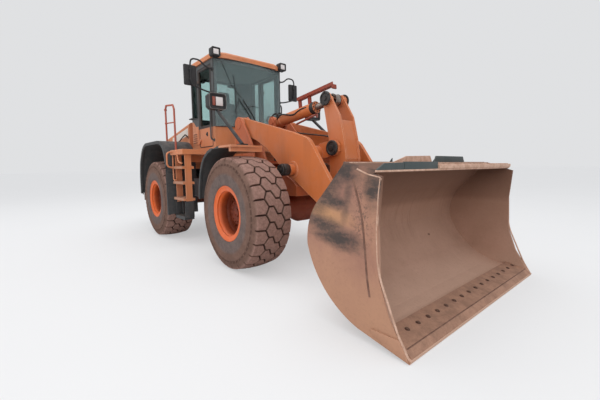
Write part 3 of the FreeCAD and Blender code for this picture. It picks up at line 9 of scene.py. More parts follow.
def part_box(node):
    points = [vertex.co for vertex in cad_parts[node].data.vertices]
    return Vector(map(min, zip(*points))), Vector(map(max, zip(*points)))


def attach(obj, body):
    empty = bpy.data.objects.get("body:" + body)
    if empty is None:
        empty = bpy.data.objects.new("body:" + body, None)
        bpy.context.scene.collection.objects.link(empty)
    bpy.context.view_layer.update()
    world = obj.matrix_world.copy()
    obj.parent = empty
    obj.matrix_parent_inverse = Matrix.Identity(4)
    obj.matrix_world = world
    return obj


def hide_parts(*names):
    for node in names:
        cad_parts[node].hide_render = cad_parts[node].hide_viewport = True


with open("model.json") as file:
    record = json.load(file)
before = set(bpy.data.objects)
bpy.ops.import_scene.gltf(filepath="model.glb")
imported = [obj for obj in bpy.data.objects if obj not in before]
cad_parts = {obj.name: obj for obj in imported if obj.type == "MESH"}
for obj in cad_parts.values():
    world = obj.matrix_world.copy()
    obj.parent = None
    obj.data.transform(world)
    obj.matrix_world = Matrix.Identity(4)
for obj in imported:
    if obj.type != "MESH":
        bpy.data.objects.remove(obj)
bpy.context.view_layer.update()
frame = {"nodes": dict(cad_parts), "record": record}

bl_info = {
    "name": "Wheel loader dressing",
    "version": (1, 0, 0),
    "blender": (4, 5, 0),
    "location": "3D View > Sidebar > Loader",
    "description": "Finishes, tyres, trim and stage for an articulated wheel loader",
    "category": "Object",
}

CAD = frame["nodes"]


# Places on the machine


def middle(node):
    """The centre of a node's box."""
    low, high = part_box(node)
    return (low + high) / 2

FRONT_X = middle("rim_front_left").x
REAR_X = middle("rim_rear_left").x
PIVOT_X = (FRONT_X + REAR_X) / 2
AXLE_Z = middle("rim_front_left").z
WHEEL_Y = middle("rim_front_left").y
LEVER_PIN = middle("lever_pin")
BUCKET_PIN = middle("bucket_pins")
SIDES = (("left", 1), ("right", -1))
BOTH = (1, -1)


def at(x, y, z):
    """A place given from the front axle."""
    return (FRONT_X + x, y, z)


def from_front(x, z):
    """A side-view place given from the front axle."""
    return (FRONT_X + x, z)


# Sizes and colours that a user may change


def paint_size(name, text, default):
    """A length that the user may change."""
    return bpy.props.FloatProperty(name=name, description=text, default=default, min=0.0, unit="LENGTH")


def paint_colour(name, text, default):
    """A colour that the user may change."""
    return bpy.props.FloatVectorProperty(
        name=name, description=text, default=default, size=3, min=0.0, max=1.0, subtype="COLOR"
    )


def tone(red, green, blue):
    """A colour given in screen values from 0 to 255, as the shader takes it."""
    out = []
    for value in (red, green, blue):
        part = value / 255.0
        out.append(part / 12.92 if part <= 0.04045 else ((part + 0.055) / 1.055) ** 2.4)
    return tuple(out)


class LoaderSizes(bpy.types.PropertyGroup):
    tyre_radius: paint_size("Tyre radius", "From the wheel's centre to the tread's top", 0.8)
    tread_depth: paint_size("Tread depth", "Height of the tread blocks", 0.034)
    groove_width: paint_size("Groove width", "Gap between two tread blocks", 0.017)
    block_count: bpy.props.IntProperty(
        name="Blocks", description="Tread blocks round the tyre", default=25, min=12
    )
    bolt_radius: paint_size("Bolt radius", "Size of the bolt heads on the cutting edge", 0.021)


class LoaderColours(bpy.types.PropertyGroup):
    orange: paint_colour("Body orange", "Paint of the body panels", tone(204, 124, 78))
    arm: paint_colour("Arm orange", "Paint of the lift arms and the linkage", tone(200, 110, 58))
    rim: paint_colour("Rim orange", "Paint of the rims", tone(220, 98, 36))
    dust: paint_colour("Dust", "Dry dust on level faces", tone(166, 128, 108))
    # The colour painted on the tyres' groove floors, dark as painted shade in the grooves.
    rubber: paint_colour("Rubber", "Rubber in the grooves", tone(70, 50, 45))
    stripe: paint_colour("Stripe", "The pale stripe on the hood", tone(226, 214, 202))


def sizes():
    """The sizes that the user set."""
    return bpy.context.scene.loader_sizes


def colours():
    """The colours that the user set."""
    return bpy.context.scene.loader_colours


def rgba(colour):
    """A colour with full opacity."""
    return (colour[0], colour[1], colour[2], 1.0)


# Finishes
FINISHES = {}
OWN_FINISH = {
    "tilt_guard": "guard_red",
    # The front frame and the axles are the body's orange, painted darker as shade.
    "front_frame": "frame_orange_painted_shade",
    "front_axle": "axle_orange_painted_shade",
    "rear_axle": "axle_orange_painted_shade",
    "handrails": "rail_red",
    "cab_frame": "pillar_grey",
}


class Nodes:
    """Short calls for building a material's node tree."""

    def __init__(self, name):
        self.material = bpy.data.materials.new(name)
        self.material.use_nodes = True
        self.tree = self.material.node_tree
        self.shader = self.tree.nodes["Principled BSDF"]
        self.coords = self.tree.nodes.new("ShaderNodeTexCoord")
        FINISHES[name] = self.material

    def add(self, kind, **values):
        """A new node with its settings."""
        made = self.tree.nodes.new(kind)
        for key, value in values.items():
            setattr(made, key, value)
        return made

    def link(self, out, into):
        """A wire between two sockets."""
        self.tree.links.new(out, into)

    def noise(self, scale, detail=4.0, rough=0.6, stretch=None):
        """Cloudy noise on the object's place."""
        made = self.add("ShaderNodeTexNoise")
        made.inputs["Scale"].default_value = scale
        made.inputs["Detail"].default_value = detail
        made.inputs["Roughness"].default_value = rough
        if stretch is None:
            self.link(self.coords.outputs["Object"], made.inputs["Vector"])
        else:
            mapping = self.add("ShaderNodeMapping")
            mapping.inputs["Scale"].default_value = stretch
            self.link(self.coords.outputs["Object"], mapping.inputs["Vector"])
            self.link(mapping.outputs["Vector"], made.inputs["Vector"])
        return made.outputs["Fac"]

    def ramp(self, value, low, high, out_low=0.0, out_high=1.0):
        """A value mapped from one range to another, and held at its ends."""
        made = self.add("ShaderNodeMapRange")
        made.inputs["From Min"].default_value = low
        made.inputs["From Max"].default_value = high
        made.inputs["To Min"].default_value = out_low
        made.inputs["To Max"].default_value = out_high
        self.link(value, made.inputs["Value"])
        return made.outputs["Result"]

    def math(self, operation, one, two):
        """Two numbers or sockets put together."""
        made = self.add("ShaderNodeMath", operation=operation)
        for socket, value in zip(made.inputs, (one, two)):
            if isinstance(value, (int, float)):
                socket.default_value = value
            else:
                self.link(value, socket)
        return made.outputs[0]

    def mix(self, factor, one, two):
        """Two colours blended by a factor."""
        made = self.add("ShaderNodeMix", data_type="RGBA")
        for socket, value in ((made.inputs[0], factor), (made.inputs[6], one), (made.inputs[7], two)):
            if isinstance(value, (int, float, tuple)):
                socket.default_value = value
            else:
                self.link(value, socket)
        return made.outputs[2]

    def part(self, which, axis):
        """One axis of the object place or of the object normal."""
        made = self.add("ShaderNodeSeparateXYZ")
        self.link(self.coords.outputs[which], made.inputs[0])
        return made.outputs["XYZ".index(axis)]

    def bump(self, height, strength, distance):
        """Fine relief on the shader's normal."""
        made = self.add("ShaderNodeBump")
        made.inputs["Strength"].default_value = strength
        made.inputs["Distance"].default_value = distance
        self.link(height, made.inputs["Height"])
        self.link(made.outputs["Normal"], self.shader.inputs["Normal"])

    def finish(self, colour, roughness, metallic=0.0):
        """Sets the shader's own sockets and gives the material."""
        if isinstance(colour, tuple):
            self.shader.inputs["Base Color"].default_value = colour
        else:
            self.link(colour, self.shader.inputs["Base Color"])
        if isinstance(roughness, (int, float)):
            self.shader.inputs["Roughness"].default_value = roughness
        else:
            self.link(roughness, self.shader.inputs["Roughness"])
        self.shader.inputs["Metallic"].default_value = metallic
        return self.material


def faded(colour):
    """Sun-bleached paint: a little paler and greyer."""
    mean = sum(colour) / 3
    return [min(1.0, c * 0.82 + mean * 0.18 + 0.03) for c in colour]


def dusty_paint(name, colour, dust_share, low_z=1.5, roughness=0.5, deep=None, edges=0.0):
    """Paint with faded patches, streaks that ran down, worn edges, and dust on level faces and low down; a
    given deep colour paints shade into the places that the deep attribute marks.
    """
    n = Nodes(name)
    out = n.mix(n.ramp(n.noise(1.3, 5.0, 0.62), 0.42, 0.66, 0.0, 0.65), rgba(colour), rgba(faded(colour)))
    streaks = n.ramp(n.noise(3.4, 6.0, 0.68, (1.0, 1.0, 0.16)), 0.50, 0.80, 0.0, 0.5)
    out = n.mix(streaks, out, rgba([c * 0.45 for c in colour]))
    scuffs = n.ramp(n.noise(7.5, 7.0, 0.75, (1.0, 1.0, 0.6)), 0.58, 0.70, 0.0, 0.34)
    out = n.mix(scuffs, out, rgba(tone(150, 104, 84)))
    level = n.ramp(n.part("Normal", "Z"), 0.25, 0.95)
    low = n.ramp(n.part("Object", "Z"), low_z, low_z - 1.2)
    grain = n.ramp(n.noise(5.0, 7.0, 0.75), 0.34, 0.72)
    amount = n.math("ADD", n.math("MULTIPLY", level, dust_share), n.math("MULTIPLY", low, dust_share * 0.7))
    amount = n.math("MULTIPLY", n.math("ADD", amount, dust_share * 0.16), grain)
    out = n.mix(amount, out, rgba(colours().dust))
    if edges:
        bevel = n.add("ShaderNodeBevel", samples=4)
        bevel.inputs["Radius"].default_value = 0.014
        dot = n.add("ShaderNodeVectorMath", operation="DOT_PRODUCT")
        n.link(bevel.outputs["Normal"], dot.inputs[0])
        n.link(n.add("ShaderNodeNewGeometry").outputs["Normal"], dot.inputs[1])
        worn = n.ramp(dot.outputs["Value"], 0.985, 0.90)
        worn = n.math("MULTIPLY", worn, n.ramp(n.noise(11.0, 6.0, 0.75), 0.36, 0.62, 0.15, edges))
        out = n.mix(worn, out, rgba(tone(224, 176, 146)))
    # Painted shade: places that lie deep in a recess turn to the deep colour.
    if deep is not None:
        inside = n.add("ShaderNodeAttribute", attribute_name="deep").outputs["Fac"]
        inside = n.ramp(n.math("ADD", inside, n.math("MULTIPLY", grain, 0.2)), 0.1, 1.1)
        out = n.mix(inside, out, rgba(deep))
    n.bump(n.noise(60.0, 5.0, 0.7), 0.14, 0.002)
    n.shader.inputs["Specular IOR Level"].default_value = 0.28
    return n.finish(out, n.ramp(amount, 0.0, 0.6, roughness, 0.88))


def worn_metal(name, colour, worn, roughness, metallic, scale=8.0):
    """Bare or thinly painted steel with rubbed and dirty patches."""
    n = Nodes(name)
    patches = n.ramp(n.noise(scale, 6.0, 0.7), 0.4, 0.62)
    fine = n.noise(90.0, 3.0, 0.6)
    colour_out = n.mix(patches, rgba(colour), rgba(worn))
    colour_out = n.mix(n.ramp(fine, 0.45, 0.75, 0.0, 0.4), colour_out, rgba([c * 0.5 for c in colour]))
    n.bump(fine, 0.15, 0.0015)
    return n.finish(colour_out, n.ramp(patches, 0.0, 1.0, roughness, roughness + 0.2), metallic)


def soft_patch(n, centre, turn, size, ragged):
    """A ragged oval on a side face: its centre is given from the front axle, and its turn in radians."""
    x = n.math("SUBTRACT", n.part("Object", "X"), FRONT_X + centre[0])
    z = n.math("SUBTRACT", n.part("Object", "Z"), centre[1])
    c = math.cos(turn)
    s = math.sin(turn)
    u = n.math("ADD", n.math("MULTIPLY", x, c / size[0]), n.math("MULTIPLY", z, s / size[0]))
    v = n.math("SUBTRACT", n.math("MULTIPLY", z, c / size[1]), n.math("MULTIPLY", x, s / size[1]))
    reach = n.math("ADD", n.math("MULTIPLY", u, u), n.math("MULTIPLY", v, v))
    return n.ramp(n.math("ADD", reach, n.math("MULTIPLY", ragged, 4.2)), 3.75, 2.15)


def bucket_steel(name):
    """Bucket plate: old dark paint left in patches outside, scoured tan below, dried soil inside, darkening
    upwards inside with painted shadow under the lip.
    """
    n = Nodes(name)
    height = n.part("Object", "Z")
    side = n.ramp(n.math("ABSOLUTE", n.part("Object", "Y"), 0.0), 1.449, 1.453)
    outside = n.math("MAXIMUM", side, n.ramp(n.part("Normal", "X"), -0.05, -0.2))
    coarse = n.noise(5.0, 7.0, 0.7, (0.6, 1.0, 1.5))
    fine = n.noise(38.0, 6.0, 0.75)
    ragged = n.math("ADD", n.math("MULTIPLY", coarse, 0.62), n.math("MULTIPLY", fine, 0.38))
    broad = n.noise(2.2, 5.0, 0.65)
    tan = n.mix(n.ramp(broad, 0.35, 0.68), rgba(tone(176, 132, 108)), rgba(tone(152, 110, 96)))
    tan = n.mix(n.ramp(height, 0.9, 0.25, 0.0, 0.7), tan, rgba(tone(180, 136, 108)))
    bright = soft_patch(n, (2.06, 1.03), -0.20, (0.34, 0.075), ragged)
    tan = n.mix(n.math("MULTIPLY", bright, 0.7), tan, rgba(tone(190, 142, 100)))
    old = n.mix(n.ramp(coarse, 0.42, 0.62), rgba(tone(66, 62, 60)), rgba(tone(96, 80, 72)))
    worn = soft_patch(n, (2.08, 1.30), 0.88, (0.34, 0.16), ragged)
    long_patch = soft_patch(n, (2.46, 1.12), 1.45, (0.40, 0.13), ragged)
    more = [
        soft_patch(n, (2.22, 1.46), -0.35, (0.26, 0.17), ragged),
        soft_patch(n, (2.06, 1.15), -0.16, (0.28, 0.075), ragged),
        soft_patch(n, (2.08, 0.87), -0.24, (0.36, 0.115), ragged),
        n.math("MULTIPLY", soft_patch(n, (2.29, 1.20), 1.4, (0.30, 0.05), ragged), 0.75),
        soft_patch(n, (2.56, 1.36), 1.5, (0.26, 0.10), ragged),
        n.math("MULTIPLY", long_patch, n.ramp(fine, 0.50, 0.58, 0.0, 0.75)),
    ]
    for patch in more:
        worn = n.math("MAXIMUM", worn, patch)
    outer = n.mix(n.math("MULTIPLY", worn, 0.94), tan, old)
    inner = n.mix(n.ramp(broad, 0.3, 0.7), rgba(tone(184, 146, 126)), rgba(tone(168, 132, 112)))
    # The inside colour darkens up the back wall: soil tone in the middle, and painted shadow under the lip on
    # the upper back.
    inner = n.mix(n.ramp(height, 0.35, 0.95, 0.0, 0.6), inner, rgba(tone(138, 102, 82)))
    inner = n.mix(n.ramp(height, 0.93, 1.00, 0.0, 0.35), inner, rgba(tone(96, 66, 52)))
    inner = n.mix(n.ramp(height, 1.0, 1.35, 0.0, 0.6), inner, rgba(tone(84, 56, 44)))
    inner = n.mix(n.ramp(height, 0.30, 0.05, 0.0, 0.6), inner, rgba(tone(208, 172, 150)))
    drips = n.ramp(n.noise(9.0, 6.0, 0.7, (0.3, 1.6, 0.12)), 0.52, 0.72, 0.0, 0.35)
    inner = n.mix(n.math("MULTIPLY", drips, n.ramp(height, 0.35, 0.75)), inner, rgba(tone(112, 82, 66)))
    pits = n.ramp(n.noise(5.5, 2.0, 0.5), 0.745, 0.76, 0.0, 0.7)
    inner = n.mix(n.math("MULTIPLY", pits, n.ramp(height, 0.7, 0.5)), inner, rgba(tone(92, 66, 54)))
    colour_out = n.mix(outside, inner, outer)
    colour_out = n.mix(n.ramp(fine, 0.52, 0.78, 0.0, 0.28), colour_out, rgba(tone(112, 82, 68)))
    n.bump(n.math("ADD", fine, n.math("MULTIPLY", n.noise(6.0, 5.0, 0.6), 2.0)), 0.3, 0.005)
    n.shader.inputs["Specular IOR Level"].default_value = 0.2
    return n.finish(colour_out, 0.86)


def tyre_rubber(name):
    """Tyre rubber: dusty block tops, groove floors painted dark as shade, and a grey ring, read from the
    piece's own attributes.
    """
    n = Nodes(name)
    top_dust_groove_shade = n.add("ShaderNodeAttribute", attribute_name="top_dust_groove_shade").outputs["Fac"]
    reach = n.add("ShaderNodeAttribute", attribute_name="reach").outputs["Fac"]
    fine = n.noise(26.0, 7.0, 0.75)
    top = n.mix(n.ramp(fine, 0.35, 0.68), rgba(tone(156, 122, 110)), rgba(tone(122, 93, 83)))
    grain = n.noise(9.0, 7.0, 0.75)
    brown = n.mix(n.ramp(grain, 0.36, 0.68), rgba(tone(122, 94, 82)), rgba(tone(96, 74, 64)))
    grey = n.mix(n.ramp(grain, 0.36, 0.68), rgba(tone(116, 100, 94)), rgba(tone(92, 80, 76)))
    wall = n.mix(n.ramp(n.math("ADD", reach, n.math("MULTIPLY", grain, 0.05)), 0.56, 0.60), grey, brown)
    dark_ring = n.math("MULTIPLY", n.ramp(reach, 0.655, 0.665), n.ramp(reach, 0.70, 0.685))
    wall = n.mix(n.math("MULTIPLY", dark_ring, 0.6), wall, rgba(tone(82, 62, 54)))
    colour_out = n.mix(n.ramp(top_dust_groove_shade, 0.5, 0.9), wall, top)
    # Groove floors: painted shade, dark where the attribute is low.
    colour_out = n.mix(n.ramp(top_dust_groove_shade, 0.34, 0.08), colour_out, rgba(colours().rubber))
    n.bump(n.noise(70.0, 6.0, 0.8), 0.4, 0.004)
    n.shader.inputs["Specular IOR Level"].default_value = 0.15
    return n.finish(colour_out, 0.95)


def plain_rubber(name, colour, dust):
    """Moulded rubber or plastic, greyed by dust."""
    n = Nodes(name)
    level = n.ramp(n.part("Normal", "Z"), 0.3, 0.95)
    grain = n.ramp(n.noise(9.0, 7.0, 0.72), 0.35, 0.75)
    amount = n.math("MULTIPLY", n.math("ADD", n.math("MULTIPLY", level, 0.8), 0.3), grain)
    amount = n.math("MULTIPLY", amount, dust)
    out = n.mix(amount, rgba(colour), rgba(tone(138, 122, 112)))
    n.bump(n.noise(120.0, 3.0, 0.6), 0.15, 0.001)
    n.shader.inputs["Specular IOR Level"].default_value = 0.35
    return n.finish(out, 0.62)


def tinted_glass(name):
    """Green-grey tinted cab glass with a thin film of dust."""
    n = Nodes(name)
    film = n.ramp(n.noise(2.4, 6.0, 0.7), 0.35, 0.75, 0.0, 0.3)
    out = n.mix(film, rgba(tone(212, 234, 232)), rgba(tone(176, 188, 184)))
    n.shader.inputs["Transmission Weight"].default_value = 1.0
    n.shader.inputs["IOR"].default_value = 1.03
    n.shader.inputs["Specular IOR Level"].default_value = 0.5
    return n.finish(out, n.ramp(film, 0.0, 0.3, 0.02, 0.10))


def hazy_pane(name):
    """A bonded pane seen from outside: clear in the middle, with a teal haze and dust along its lower edge."""
    n = Nodes(name)
    height = n.part("Object", "Z")
    haze = n.ramp(height, 2.85, 2.2, 0.22, 0.50)
    dust = n.math("MULTIPLY", n.ramp(n.noise(3.5, 7.0, 0.75), 0.38, 0.72), n.ramp(height, 2.5, 2.2, 0.12, 0.5))
    alpha = n.ramp(n.math("ADD", haze, dust), 0.0, 1.0, 0.10, 0.80)
    out = n.mix(dust, rgba(tone(122, 140, 140)), rgba(tone(146, 142, 130)))
    n.link(alpha, n.shader.inputs["Alpha"])
    n.shader.inputs["Specular IOR Level"].default_value = 0.5
    return n.finish(out, 0.12)


def lens(name, colour, roughness):
    """Moulded lamp glass with upright flutes."""
    n = Nodes(name)
    waves = n.add("ShaderNodeTexWave", bands_direction="Y")
    waves.inputs["Scale"].default_value = 26.0
    n.link(n.coords.outputs["Object"], waves.inputs["Vector"])
    flutes = n.ramp(waves.outputs["Fac"], 0.2, 0.9)
    colour_out = n.mix(flutes, rgba(colour), rgba([c * 0.7 for c in colour]))
    n.bump(waves.outputs["Fac"], 0.3, 0.003)
    n.shader.inputs["Coat Weight"].default_value = 0.6
    return n.finish(colour_out, roughness)


def seat_cloth(name):
    """Woven seat fabric in dark grey."""
    n = Nodes(name)
    waves = n.add("ShaderNodeTexWave", bands_direction="DIAGONAL")
    waves.inputs["Scale"].default_value = 140.0
    n.link(n.coords.outputs["Object"], waves.inputs["Vector"])
    colour_out = n.mix(waves.outputs["Fac"], rgba(tone(52, 54, 58)), rgba(tone(84, 86, 90)))
    n.bump(waves.outputs["Fac"], 0.4, 0.0008)
    n.shader.inputs["Sheen Weight"].default_value = 0.3
    return n.finish(colour_out, 0.9)


def make_finishes():
    """Every finish of the machine."""
    c = colours()
    dusty_paint("body_orange", c.orange, 0.5, 1.3, edges=0.55)
    dusty_paint("arm_orange", c.arm, 0.42, 1.1, edges=0.8)
    # The dark brown for the inside of the rim's dish is painted shade.
    dusty_paint("rim_orange", c.rim, 0.22, 0.5, 0.5, tone(104, 42, 20))
    # Orange painted darker as shade for the front frame and the axles.
    dusty_paint("frame_orange_painted_shade", tone(184, 92, 50), 0.3, 1.4, 0.6, edges=0.5)
    dusty_paint("axle_orange_painted_shade", tone(142, 62, 36), 0.35, 1.0, 0.6)
    dusty_paint("frame_dark", tone(74, 58, 52), 0.5, 1.4, 0.6)
    dusty_paint("rail_red", tone(176, 84, 62), 0.4, 1.4, 0.55)
    dusty_paint("guard_red", tone(142, 58, 38), 0.35, 1.2, 0.6)
    dusty_paint("teal_plate", tone(62, 72, 72), 0.25, 1.2, 0.6)
    dusty_paint("grey_steel", tone(96, 94, 96), 0.4, 1.4, 0.5)
    dusty_paint("pillar_grey", tone(72, 74, 74), 0.2, 1.4, 0.5)
    dusty_paint("liner_grey", tone(120, 124, 122), 0.1, 1.4, 0.8)
    dusty_paint("pipe_dark", tone(50, 46, 45), 0.3, 1.4, 0.6)
    dusty_paint("stripe_pale", c.stripe, 0.45, 1.4)
    dusty_paint("step_pale", tone(176, 122, 92), 0.7, 1.4, 0.7)
    worn_metal("edge_steel", tone(168, 126, 102), tone(146, 110, 90), 0.7, 0.1)
    worn_metal("rod_chrome", tone(158, 146, 138), tone(104, 82, 70), 0.30, 0.75)
    worn_metal("cast_grey", tone(70, 66, 64), tone(54, 48, 46), 0.6, 0.3)
    worn_metal("grease_black", tone(34, 33, 34), tone(56, 48, 44), 0.42, 0.1, 20.0)
    worn_metal("lip_pale", tone(204, 168, 146), tone(178, 140, 118), 0.75, 0.0, 14.0)
    worn_metal("groove_brown", tone(128, 94, 78), tone(104, 74, 62), 0.85, 0.0, 14.0)
    # Bolt heads: rust brown, darkened further to paint the shadow beside each head.
    worn_metal("bolt_rust_and_shade", tone(104, 74, 60), tone(78, 54, 44), 0.85, 0.0, 30.0)
    worn_metal("mirror_face", tone(210, 214, 218), tone(196, 200, 204), 0.05, 1.0, 3.0)
    # Pale metal for the thin ring on the headlamp rims: a painted highlight.
    worn_metal("glint_ring_steel", tone(150, 146, 142), tone(116, 108, 102), 0.35, 0.7, 12.0)
    bucket_steel("bucket_steel")
    tyre_rubber("tyre_rubber")
    plain_rubber("rubber_black", tone(56, 58, 59), 0.5)
    plain_rubber("plastic_black", tone(38, 38, 40), 0.3)
    plain_rubber("hose_black", tone(34, 33, 34), 0.3)
    plain_rubber("console_grey", tone(74, 80, 80), 0.1)
    tinted_glass("cab_glass_tint")
    hazy_pane("hazy_pane")
    lens("lens_white", tone(226, 218, 214), 0.2)
    lens("lens_amber", tone(150, 70, 50), 0.25)
    lens("lens_red", tone(150, 24, 20), 0.2)
    seat_cloth("seat_fabric")


def look(node, finish):
    """Gives one CAD node another finish than its slot's."""
    for slot in CAD[node].material_slots:
        slot.material = FINISHES[finish]


def dress_nodes():
    """Gives every CAD node the finish of its slot, and some a finish nearer to their own."""
    for part in frame["record"]["subparts"]:
        node = CAD[part["node"]]
        finish = FINISHES[part["material_slot"]]
        for slot in node.material_slots:
            slot.material = finish
        if not node.material_slots:
            node.data.materials.append(finish)
    for name in CAD:
        for key, finish in OWN_FINISH.items():
            if name == key or name.startswith(key + "_"):
                look(name, finish)


# Modelling


def rest():
    """Object mode with nothing selected."""
    if bpy.context.object is not None and bpy.context.object.mode != "OBJECT":
        bpy.ops.object.mode_set(mode="OBJECT")
    bpy.ops.object.select_all(action="DESELECT")


def pick(piece):
    """Selects one piece and makes it active."""
    rest()
    piece.select_set(True)
    bpy.context.view_layer.objects.active = piece


def settle(piece):
    """Puts the piece's place, turn and size into its mesh."""
    pick(piece)
    bpy.ops.object.transform_apply(location=True, rotation=True, scale=True)
    return piece


def smooth(piece, angle=40.0):
    """Smooth shading below an angle."""
    pick(piece)
    bpy.ops.object.shade_smooth_by_angle(angle=math.radians(angle))
    return piece


def soften(piece, width, segments=2, angle=35.0):
    """Bevels the sharp edges of a piece and smooths what is left."""
    pick(piece)
    made = piece.modifiers.new("edge", "BEVEL")
    made.width = width
    made.segments = segments
    made.limit_method = "ANGLE"
    made.angle_limit = math.radians(angle)
    bpy.ops.object.modifier_apply(modifier=made.name)
    smooth(piece)
    return piece


def block(low, high, bevel=0.004):
    """A block with softened edges between two corners."""
    rest()
    a = Vector(low)
    b = Vector(high)
    bpy.ops.mesh.primitive_cube_add(size=1.0, location=(a + b) / 2)
    piece = bpy.context.object
    piece.scale = [abs(c) for c in (b - a)]
    settle(piece)
    if bevel:
        soften(piece, bevel)
    return piece


def drum(start, end, radius, sides=24, bevel=0.003, radius_end=None):
    """A round bar or a tapered one between two points, with softened rims."""
    rest()
    a = Vector(start)
    b = Vector(end)
    turn = (b - a).to_track_quat("Z", "Y").to_euler()
    bpy.ops.mesh.primitive_cone_add(
        vertices=sides,
        radius1=radius,
        radius2=radius if radius_end is None else radius_end,
        depth=(b - a).length,
        location=(a + b) / 2,
        rotation=turn,
    )
    piece = settle(bpy.context.object)
    if bevel:
        soften(piece, bevel)
    else:
        smooth(piece)
    return piece


def slab(corners, axis, low, high, bevel=0.004):
    """A flat plate: its outline is given across the axis, and it is extruded from low to high."""
    rest()
    order = {"x": (1, 2, 0), "y": (0, 2, 1), "z": (0, 1, 2)}[axis]
    points = []
    for corner in corners:
        place = [0.0, 0.0, 0.0]
        place[order[0]] = corner[0]
        place[order[1]] = corner[1]
        place[order[2]] = low
        points.append(place)
    mesh = bpy.data.meshes.new("plate")
    mesh.from_pydata(points, [], [list(range(len(points)))])
    piece = bpy.data.objects.new("plate", mesh)
    bpy.context.scene.collection.objects.link(piece)
    pick(piece)
    shift = [0.0, 0.0, 0.0]
    shift[order[2]] = high - low
    bpy.ops.object.mode_set(mode="EDIT")
    bpy.ops.mesh.select_all(action="SELECT")
    bpy.ops.mesh.extrude_region_move(TRANSFORM_OT_translate={"value": shift})
    bpy.ops.mesh.select_all(action="SELECT")
    bpy.ops.mesh.normals_make_consistent(inside=False)
    bpy.ops.object.mode_set(mode="OBJECT")
    if bevel:
        soften(piece, bevel)
    return piece


def pipe(points, radius, bend=0.05, sides=3):
    """A bent steel tube: its corners are rounded with a vertex bevel."""
    rest()
    mesh = bpy.data.meshes.new("route")
    mesh.from_pydata([Vector(p) for p in points], [(i, i + 1) for i in range(len(points) - 1)], [])
    piece = bpy.data.objects.new("route", mesh)
    bpy.context.scene.collection.objects.link(piece)
    pick(piece)
    if bend and len(points) > 2:
        for vertex in mesh.vertices:
            vertex.select = 0 < vertex.index < len(points) - 1
        bpy.ops.object.mode_set(mode="EDIT")
        bpy.ops.mesh.select_mode(type="VERT")
        bpy.ops.mesh.bevel(offset=bend, offset_pct=0, segments=6, affect="VERTICES")
        bpy.ops.object.mode_set(mode="OBJECT")
    bpy.ops.object.convert(target="CURVE")
    piece = bpy.context.object
    piece.data.bevel_depth = radius
    piece.data.bevel_resolution = sides
    piece.data.use_fill_caps = True
    bpy.ops.object.convert(target="MESH")
    return smooth(bpy.context.object, 50.0)


def side_pipe(route, y, radius, bend, sides):
    """A tube along a side-view route given from the front axle."""
    return pipe([at(a, y, b) for a, b in route], radius, bend, sides)


def hose(points, radius):
    """A held hose on a smooth route through its points."""
    rest()
    curve = bpy.data.curves.new("hose", "CURVE")
    curve.dimensions = "3D"
    spline = curve.splines.new("NURBS")
    spline.points.add(len(points) - 1)
    for point, place in zip(spline.points, points):
        point.co = (place[0], place[1], place[2], 1.0)
    spline.order_u = 3
    spline.use_endpoint_u = True
    spline.resolution_u = 8
    curve.bevel_depth = radius
    curve.bevel_resolution = 3
    curve.use_fill_caps = True
    piece = bpy.data.objects.new("hose", curve)
    bpy.context.scene.collection.objects.link(piece)
    pick(piece)
    bpy.ops.object.convert(target="MESH")
    return smooth(bpy.context.object, 50.0)


def spin(profile, centre, steps=64, axis=(0, 1, 0)):
    """A turned solid: each point of the profile is (along the axis, radius)."""
    rest()
    along = Vector(axis)
    out = Vector((0, 0, 1)) if abs(along.z) < 0.5 else Vector((1, 0, 0))
    mesh = bpy.data.meshes.new("profile")
    points = [Vector(centre) + along * a + out * r for a, r in profile]
    mesh.from_pydata(points, [(i, i + 1) for i in range(len(points) - 1)], [])
    piece = bpy.data.objects.new("profile", mesh)
    bpy.context.scene.collection.objects.link(piece)
    pick(piece)
    bpy.ops.object.mode_set(mode="EDIT")
    bpy.ops.mesh.select_all(action="SELECT")
    bpy.ops.mesh.spin(steps=steps, angle=math.tau, center=Vector(centre), axis=along)
    bpy.ops.mesh.select_all(action="SELECT")
    bpy.ops.mesh.remove_doubles(threshold=0.00005)
    bpy.ops.mesh.normals_make_consistent(inside=False)
    bpy.ops.object.mode_set(mode="OBJECT")
    return smooth(piece, 32.0)


def bent_sheet(points, y0, y1, thick, bend, finish_width=0.004):
    """A sheet bent along a side-view path, with rounded corners and even thickness."""
    rest()
    mesh = bpy.data.meshes.new("sheet")
    mesh.from_pydata([(x, y0, z) for x, z in points], [(i, i + 1) for i in range(len(points) - 1)], [])
    piece = bpy.data.objects.new("sheet", mesh)
    bpy.context.scene.collection.objects.link(piece)
    pick(piece)
    for vertex in mesh.vertices:
        vertex.select = 0 < vertex.index < len(points) - 1
    bpy.ops.object.mode_set(mode="EDIT")
    bpy.ops.mesh.select_mode(type="VERT")
    bpy.ops.mesh.bevel(offset=bend, offset_pct=0, segments=5, affect="VERTICES")
    bpy.ops.mesh.select_all(action="SELECT")
    bpy.ops.mesh.extrude_region_move(TRANSFORM_OT_translate={"value": (0, y1 - y0, 0)})
    bpy.ops.object.mode_set(mode="OBJECT")
    made = piece.modifiers.new("wall", "SOLIDIFY")
    made.thickness = thick
    made.offset = 0.0
    bpy.ops.object.modifier_apply(modifier=made.name)
    bpy.ops.object.mode_set(mode="EDIT")
    bpy.ops.mesh.select_all(action="SELECT")
    bpy.ops.mesh.normals_make_consistent(inside=False)
    bpy.ops.object.mode_set(mode="OBJECT")
    return soften(piece, finish_width, 2, 60.0)


